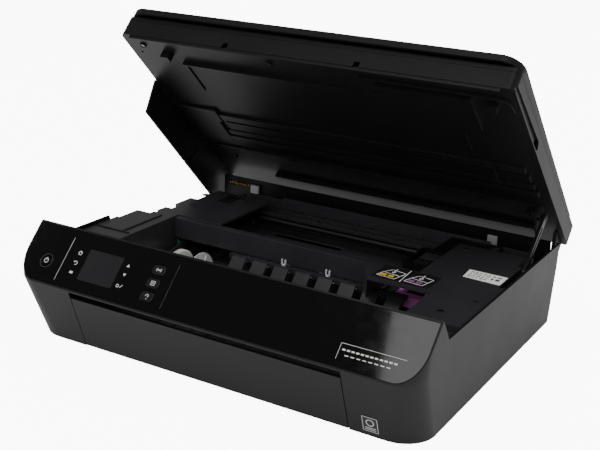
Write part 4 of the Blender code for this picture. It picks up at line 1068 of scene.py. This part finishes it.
@dataclass
class PaperPath:
    """Rollers, star wheels, platen, rail and guides between the two decks, with painted glints and a painted
    reflection in the trough.
    """

    star_x: tuple[float, ...] = (-74.0, -47.5, -21.0, 5.5, 32.0, 58.5, 85.0, 111.5)
    out_y: float = -4.0
    out_z: float = 34.0

    def build(self, shop: Workshop) -> None:
        """Builds the fixed frame of the paper path and its turning shafts."""
        for node in ("left_side_frame", "right_side_frame", "platen", "roller_cover"):
            shop.soften(node, INNER, 0.5)
        self.build_rail(shop)
        self.build_star_wheels(shop)
        shop.soften("guide_rod", DARK_STEEL, 0.3)
        shop.soften("output_roller", RUBBER, 0.5)
        shop.soften("feed_roller", COATED, 0.3)
        shop.soften("encoder_disc", ACETAL, 0.2)
        spokes = [self.spoke(i * math.tau / 6) for i in range(6)]
        hub = ring("X", (-122.2, -118.0), (self.out_y, self.out_z), 5.6, 3.4, 32)
        shop.group("encoder_hub", [*spokes, hub], Datum.BASE, ACETAL, "output_shaft")
        self.build_trough_reflection_and_ribs(shop)

    def spoke(self, angle: float) -> Mesh:
        """A rib of the encoder disc at an angle round its shaft."""
        rib = block((-119.8, -118.6), (6.0, 24.0), (-0.7, 0.7), 0.2)
        bmesh.ops.rotate(rib, cent=(0, 0, 0), matrix=Matrix.Rotation(angle, 3, "X"), verts=rib.verts)
        bmesh.ops.translate(rib, vec=(0, self.out_y, self.out_z), verts=rib.verts)
        return rib

    def clip(self, x: float) -> Mesh:
        """A small upright clip with two prongs on the star wheel holder."""
        parts = (((-2.7, -1.3), (65.4, 72.4)), ((1.3, 2.7), (65.4, 72.4)), ((-2.7, 2.7), (65.3, 67.2)))
        return gathered(block((x + low, x + high), (7.6, 9.6), z, 0.3) for (low, high), z in parts)

    def build_rail(self, shop: Workshop) -> None:
        """The tall pressed rail behind the carriage, with its stiffening beads."""
        shop.soften("carriage_rail", INNER, 0.3)
        outlines = [rounded((x, x + 46.0), (58.0, 61.0), 1.4, 4) for x in range(-140, 170, 62)]
        outlines += [rounded((x, x + 8.0), (74.0, 80.0), 1.6, 4) for x in range(-120, 170, 31)]
        beads = gathered(slab("Y", outline, (151.2, 152.4), 0.4) for outline in outlines)
        shop.finish("rail_beads", beads, Datum.BASE, INNER, "body")

    def build_star_wheels(self, shop: Workshop) -> None:
        """The holder, and thin spiked steel wheels on their axles at each tyre."""
        shop.soften("star_wheel_bar", INNER, 0.3)
        wheels, axles, springs = [], [], []
        for x in self.star_x:
            for offset in (-11.2, 10.2):
                wheels.append(self.spiked((x + offset, x + offset + 0.6)))
            axles.append(rod("X", (x - 12.4, x + 12.4), (self.out_y, 45.6), 1.0, 0.3, 16))
            springs.append(rod("X", (x - 12.6, x - 10.9), (self.out_y, 45.6), 2.6, 0.4, 24))
        clips = [self.clip(x) for x in self.star_x[2::2][:3]]
        shop.group("star_wheel_clips", clips, Datum.BASE, COATED, "body")
        # Pale blocks along the holder's lower front edge: painted glints where the glossy holder catches the
        # light.
        painted_glints = [block((x - 9.0, x + 9.0), (5.0, 5.9), (60.4, 61.2), 0.2) for x in self.star_x]
        shop.group("star_wheel_painted_glints", painted_glints, Datum.BASE, COATED, "body")
        shop.group("star_wheels", wheels, Datum.BASE, STEEL, "body")
        shop.group("star_wheel_axles", axles, Datum.BASE, STEEL, "body")
        shop.group("star_wheel_caps", springs, Datum.BASE, TAB_GREY, "body")

    def spiked(self, span: Span) -> Mesh:
        """A thin wheel with sixteen spikes."""
        points = []
        for i in range(32):
            radius = 5.0 if i % 2 == 0 else 3.9
            angle = math.tau * i / 32
            points.append((self.out_y + radius * math.cos(angle), 45.6 + radius * math.sin(angle)))
        return slab("X", points, span, 0)

    def build_trough_reflection_and_ribs(self, shop: Workshop) -> None:
        """A pale curved strip low in the trough, which is a painted reflection, and the ribs of the platen."""
        # Pale blocks along a curve: a painted reflection low in the trough.
        strip = []
        for i in range(10):
            x = -48.0 + i * 4.6
            y = 60.0 + 5.0 * math.sin(i / 9 * math.pi)
            strip.append(block((x, x + 4.8), (y, y + 3.0), (44.4, 45.6), 0.3))
        shop.group("trough_painted_reflection", strip, Datum.BASE, TAB_GREY, "body")
        rib = [(33.0, 42.5), (76.0, 42.5), (74.0, 45.2), (36.0, 45.2)]
        ribs = [slab("X", rib, (x, x + 1.4), 0.3) for x in range(-120, 108, 12)]
        shop.group("platen_ribs", ribs, Datum.BASE, MECHANISM, "body")


@dataclass
class Drive:
    """Gears, motors, belt, spring, boards and sockets."""

    chips: tuple[tuple[float, float, float, float, float], ...] = (
        (-204, -40, 18, 18, 1.6),
        (-200, 10, 12, 16, 1.4),
        (-196, 60, 8, 20, 6.0),
        (-182, -60, 6, 12, 5.0),
    )

    def build(self, shop: Workshop) -> None:
        """Dresses the drive and the electrical pieces, and adds chips and contacts."""
        shop.soften("output_gear", ACETAL, 0.12, 1)
        for node in ("feed_gear", "idler_gear"):
            shop.soften(node, MECHANISM, 0.12, 1)
        shop.soften("motor_pinion", BRASS, 0.1, 1)
        shop.soften("hinge_spring", BRASS, 0.0)
        shop.soften("feed_motor", STEEL, 0.8)
        shop.soften("carriage_motor", STEEL, 0.8)
        shop.soften("idler_pulley", STEEL, 0.3)
        shop.soften("drive_pulley", STEEL, 0.3)
        shop.soften("carriage_belt", RUBBER, 0.1, 1)
        shop.soften("main_board", BOARD, 0.2)
        chips = [block((x, x + w), (y, y + d), (41.6, 41.6 + h), 0.3) for x, y, w, d, h in self.chips]
        shop.group("board_chips", chips, Datum.BASE, MECHANISM, "body")
        shop.soften("power_inlet", MECHANISM, 0.5)
        pins = [rod("Y", (166.0, 178.5), (132.5 + s * 3.6, 28.5), 1.0, 0.4, 16) for s in (-1, 1)]
        shop.group("inlet_pins", pins, Datum.BASE, STEEL, "body")
        shop.soften("usb_port", STEEL, 0.3)
        tongue = block((-146.0, -140.0), (172.6, 180.0), (25.2, 26.8), 0.2)
        shop.finish("data_tongue", tongue, Datum.BASE, ACETAL, "body")
        shop.soften("service_station", INNER, 0.8)


@dataclass
class Carriage:
    """Cartridge carriage parked at the right, its two cartridges and their clips."""

    clip_x: tuple[float, ...] = (118.0, 158.5)

    def build(self, shop: Workshop) -> None:
        """Builds the carriage with its cartridges and clips."""
        shop.soften("carriage", MECHANISM, 0.7)
        shop.soften("colour_cartridge", MECHANISM, 0.8, 3)
        shop.soften("black_cartridge", MECHANISM, 0.8, 3)
        shop.soften("colour_clip", MAGENTA, 1.1, 3)
        shop.soften("black_clip", TAB_GREY, 1.1, 3)
        ridges = []
        for x in self.clip_x:
            starts = [x - 12.0 + i * 4.0 for i in range(7)]
            ridges += [block((start, start + 1.4), (52.0, 66.0), (83.0, 83.8), 0.25) for start in starts]
            ridges.append(slab("Z", rounded((x - 14.0, x + 14.0), (72.0, 92.0), 2.0, 4), (83.0, 83.4), 0.15))
        shop.group("cartridge_grips", ridges, Datum.BASE, INNER, "cartridge_carriage")


@dataclass
class BaseAndTray:
    """Floor pan, feet and the paper trays, which show only with the door down."""

    def build(self, shop: Workshop) -> None:
        """Dresses the pieces low in the body."""
        shop.soften("base_pan", INNER, 0.6)
        for node in ("foot_front_left", "foot_front_right", "foot_rear_left", "foot_rear_right"):
            shop.soften(node, RUBBER, 0.5)
        shop.soften("paper_tray", INNER, 0.5)
        shop.soften("output_tray", INNER, 0.5)
        shop.soften("width_guide_left", TAB_GREY, 0.4)
        shop.soften("width_guide_right", TAB_GREY, 0.4)
        ribs = [block((x, x + 1.2), (-140.0, -44.0), (22.4, 23.2), 0.3) for x in range(-120, 126, 20)]
        shop.group("output_tray_ribs", ribs, Datum.BASE, INNER, "tray")


# ---- scanner unit, drawn closed ----


def path_rib(points: Outline, width: float, span: Span, edge: float = 0.3) -> Mesh:
    """A rib of even width along a path across the underside."""
    sides: tuple[list, list] = ([], [])
    for i, point in enumerate(points):
        before = Vector(points[max(i - 1, 0)])
        after = Vector(points[min(i + 1, len(points) - 1)])
        along = (after - before).normalized()
        across = Vector((-along.y, along.x)) * (width / 2)
        sides[0].append(tuple(Vector(point) + across))
        sides[1].append(tuple(Vector(point) - across))
    return slab("Z", sides[0] + sides[1][::-1], span, edge)


@dataclass
class ScannerUnit:
    """Lower housing seen from below, side skirt, hinge arm, top frame, glass and scan bar."""

    floor: float = LID_FLOOR_Z
    screws: tuple[Point, ...] = (
        (-196.0, -104.0),
        (-40.0, -104.0),
        (140.0, 100.0),
        (20.0, 100.0),
        (-96.0, 100.0),
        (190.0, 120.0),
        (-184.0, 120.0),
    )

    def build(self, shop: Workshop) -> None:
        """Builds the housing with its underside, and the pieces fixed to it."""
        self.build_housing(shop)
        self.build_underside(shop)
        self.build_skirt(shop)
        shop.soften("hinge_arm", CASING, 0.6)
        shop.soften("scanner_bezel", CASING, 0.8, 3)
        shop.soften("scanner_glass", GLASS, 0.2, 1)
        shop.soften("scan_bar", MECHANISM, 0.5)
        lens = block((-182.4, -177.6), (-99.0, 113.0), (107.6, 108.5), 0.1)
        shop.finish("scan_bar_lens", lens, Datum.LID, ACETAL, "scan_carriage")

    def build_housing(self, shop: Workshop) -> None:
        """The tray-shaped housing with a groove along its right side and notches in its front wall."""
        shell = drawn("scanner_housing", Datum.LID)
        side = [(-117.0, 96.6), (-17.0, 95.9), (-12.0, 98.5), (-17.0, 105.0), (-117.0, 101.2)]
        groove = slab("X", side, (216.6, 240.0), 0)
        notches = [block((x - 3.2, x + 3.2), (-130.0, -117.0), (90.0, 100.4), 0) for x in (-86.0, 62.0)]
        hole = rod("Z", (90.0, 96.0), (-205.0, -90.0), 1.6, 0, 20)
        body = carved(shell, [("DIFFERENCE", tool) for tool in (groove, *notches, hole)])
        ease(body, 0.5, 2)
        shop.finish("scanner_tub", body, Datum.LID, CASING, "scanner_unit", ["scanner_housing"])

    def build_underside(self, shop: Workshop) -> None:
        """Bands, ribs and bosses that stiffen the underside."""
        floor = self.floor + 0.1
        bands = [
            block((-212.0, -158.0), (9.0, 32.0), (90.6, floor), 0.9, 3),
            block((-157.0, 203.0), (17.0, 28.0), (91.2, floor), 0.7),
            block((-160.0, 207.0), (49.0, 58.0), (91.2, floor), 0.7),
            block((-166.0, 209.0), (64.0, 73.0), (91.6, floor), 0.7),
            block((-200.0, 201.0), (93.0, 95.0), (91.8, floor), 0.4),
            block((58.6, 61.4), (16.0, 54.0), (90.6, floor), 0.3),
            block((167.6, 170.4), (20.0, 61.0), (90.6, floor), 0.3),
            block((-137.0, 190.0), (163.0, 166.0), (92.0, floor), 0.4),
            block((-205.0, 205.0), (-119.6, -117.6), (91.0, floor), 0.5),
        ]
        straight = [(61.9, -107.4), (140.0, -106.4), (200.0, -105.4)]
        ridge = [*straight, (207.0, -103.0), (211.0, -97.0), (213.2, -86.0)]
        ribs = [
            path_rib(ridge, 1.8, (90.6, floor)),
            path_rib([(172.5, -98.0), (172.3, -44.7)], 1.4, (90.8, floor)),
            path_rib([(151.9, -33.0), (151.6, 0.8)], 1.4, (91.8, floor)),
            path_rib([(-153.0, -84.0), (-153.0, -30.0)], 1.4, (92.8, floor)),
        ]
        shop.group("underside_ribs", [*bands, *ribs], Datum.LID, CASING, "scanner_unit")
        bosses, heads = [], []
        for x, y in self.screws:
            bosses.append(ring("Z", (92.6, floor), (x, y), 3.8, 2.6, 28))
            heads.append(rod("Z", (93.3, floor), (x, y), 2.3, 0.3, 20))
        shop.group("underside_bosses", bosses, Datum.LID, CASING, "scanner_unit")
        shop.group("underside_screws", heads, Datum.LID, STEEL, "scanner_unit")

    def build_skirt(self, shop: Workshop) -> None:
        """The left skirt with two upright ribs and a foot rib on its inner face."""
        shop.soften("side_skirt", CASING, 0.6)
        upright = [
            slab("X", [(60.6, 75.0), (61.9, 57.4), (63.3, 57.4), (62.6, 75.0)], (-218.6, -216.6), 0.3),
            slab("X", [(91.4, 78.2), (85.4, 58.4), (87.0, 58.2), (93.4, 78.0)], (-218.6, -216.6), 0.3),
        ]
        ledge = slab("X", [(-30.0, 89.6), (120.0, 89.6), (120.0, 91.2), (-30.6, 91.2)], (-218.6, -216.8), 0.3)
        shop.group("skirt_ribs", [*upright, ledge], Datum.LID, CASING, "scanner_unit")


@dataclass
class Cover:
    """Document cover over the scanner glass, and its white pad."""

    def build(self, shop: Workshop) -> None:
        """Builds the cover with a rounded rim, and the pad."""
        shop.soften("document_cover", CASING, 1.6, 4)
        shop.soften("backing_pad", ACETAL, 1.0)


@dataclass
class Prop:
    """Slotted arm that holds the scanner unit up, with its pivot cap."""

    def build(self, shop: Workshop) -> None:
        """Builds the arm and its pivot cap."""
        shop.soften("prop_arm", MECHANISM, 0.5)
        cap = rod("X", (212.7, 213.3), (PROP_Y, PROP_Z), 3.4, 0.25, 32)
        shop.finish("prop_pivot_cap", cap, Datum.PROP, MECHANISM, "prop")


# ---- studio ----


@dataclass
class Studio:
    """Pale floor, soft lights and the camera."""

    camera_at: tuple[float, float, float] = (523.8, -919.4, 470.8)
    target: tuple[float, float, float] = (1.5, 0.0, 117.4)
    roll: float = math.radians(2.51)
    fill: float = 0.9
    backdrop: float = 12.0

    def build(self) -> None:
        """Sets the floor, the world, the lights and the camera."""
        self.build_floor()
        self.build_world()
        centre = Vector((0.0, 0.0, 0.12))
        lights = (
            ("front_softbox", (0.9, -2.2, 1.1), (1.4, 1.0), 7.0),
            ("right_strip", (2.0, -0.2, 0.9), (0.5, 1.6), 1.6),
            ("left_softbox", (-2.0, -0.6, 1.0), (0.8, 1.2), 4.0),
            ("back_softbox", (0.6, 1.6, 1.8), (2.0, 0.8), 6.0),
            ("top_softbox", (0.1, -1.1, 2.0), (1.6, 0.9), 12.0),
        )
        for name, place, size, power in lights:
            self.add_light(name, Vector(place), centre, size, power)
        self.place_camera()

    def build_floor(self) -> None:
        """A wide pale sweep under the printer."""
        mesh = bmesh.new()
        bmesh.ops.create_grid(mesh, x_segments=2, y_segments=2, size=6.0)
        data = bpy.data.meshes.new("floor")
        mesh.to_mesh(data)
        mesh.free()
        floor = bpy.data.objects.new("floor", data)
        data.materials.append(SweepPaper("studio_sweep_white").material())
        bpy.context.scene.collection.objects.link(floor)

    def build_world(self) -> None:
        """White to the camera and for soft fill, dim in reflections, so that dark plastic keeps its depth."""
        world = bpy.data.worlds.new("studio")
        world.use_nodes = True
        tree = world.node_tree
        path = add_node(tree, "ShaderNodeLightPath")
        spot = add_node(tree, "ShaderNodeTexCoord")
        height = add_node(tree, "ShaderNodeSeparateXYZ", None, {0: spot.outputs["Generated"]})
        mirrored = add_node(
            tree,
            "ShaderNodeMapRange",
            {"From Min": 0.1, "From Max": 0.6, "To Min": 0.3, "To Max": 0.09},
            {"Value": height.outputs["Z"]},
        )
        seen = add_node(
            tree,
            "ShaderNodeMapRange",
            {"To Min": self.fill, "To Max": self.backdrop},
            {"Value": path.outputs["Is Camera Ray"]},
        )
        level = add_node(tree, "ShaderNodeMix", {"data_type": "FLOAT"})
        tree.links.new(path.outputs["Is Glossy Ray"], level.inputs[0])
        tree.links.new(seen.outputs[0], level.inputs[2])
        tree.links.new(mirrored.outputs[0], level.inputs[3])
        tree.nodes["Background"].inputs["Color"].default_value = (1.0, 1.0, 1.0, 1.0)
        tree.links.new(level.outputs[0], tree.nodes["Background"].inputs["Strength"])
        bpy.context.scene.world = world

    def add_light(self, name: str, place: Vector, target: Vector, size: Span, power: float) -> None:
        """A rectangular softbox aimed at a point."""
        data = bpy.data.lights.new(name, "AREA")
        data.shape = "RECTANGLE"
        data.size, data.size_y = size
        data.energy = power
        lamp = bpy.data.objects.new(name, data)
        lamp.location = place
        lamp.rotation_euler = (target - place).to_track_quat("-Z", "Y").to_euler()
        bpy.context.scene.collection.objects.link(lamp)

    def place_camera(self) -> None:
        """Camera at the front right, slightly above, turned a little about its own axis."""
        base = PLACES.matrix(Datum.BASE)
        data = bpy.data.cameras.new("camera")
        data.lens = 65.5
        data.sensor_width = 36.0
        data.clip_start = 0.05
        camera = bpy.data.objects.new("camera", data)
        place = base @ Vector(self.camera_at)
        turn = (base @ Vector(self.target) - place).to_track_quat("-Z", "Y").to_matrix().to_4x4()
        camera.matrix_world = Matrix.Translation(place) @ turn @ Matrix.Rotation(self.roll, 4, "Z")
        bpy.context.scene.collection.objects.link(camera)
        bpy.context.scene.camera = camera


def main() -> None:
    """Builds the printer from the base up, then the studio."""
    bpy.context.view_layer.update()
    shop = Workshop()
    panel = ControlPanel()
    BaseAndTray().build(shop)
    Casing().build(shop, panel)
    panel.build(shop)
    FrontDoor().build(shop)
    Decks().build(shop)
    PaperPath().build(shop)
    Drive().build(shop)
    Carriage().build(shop)
    ScannerUnit().build(shop)
    Cover().build(shop)
    Prop().build(shop)
    Studio().build()
    log.info("%d pieces", len(shop.made))


if __name__ == "__main__":
    main()
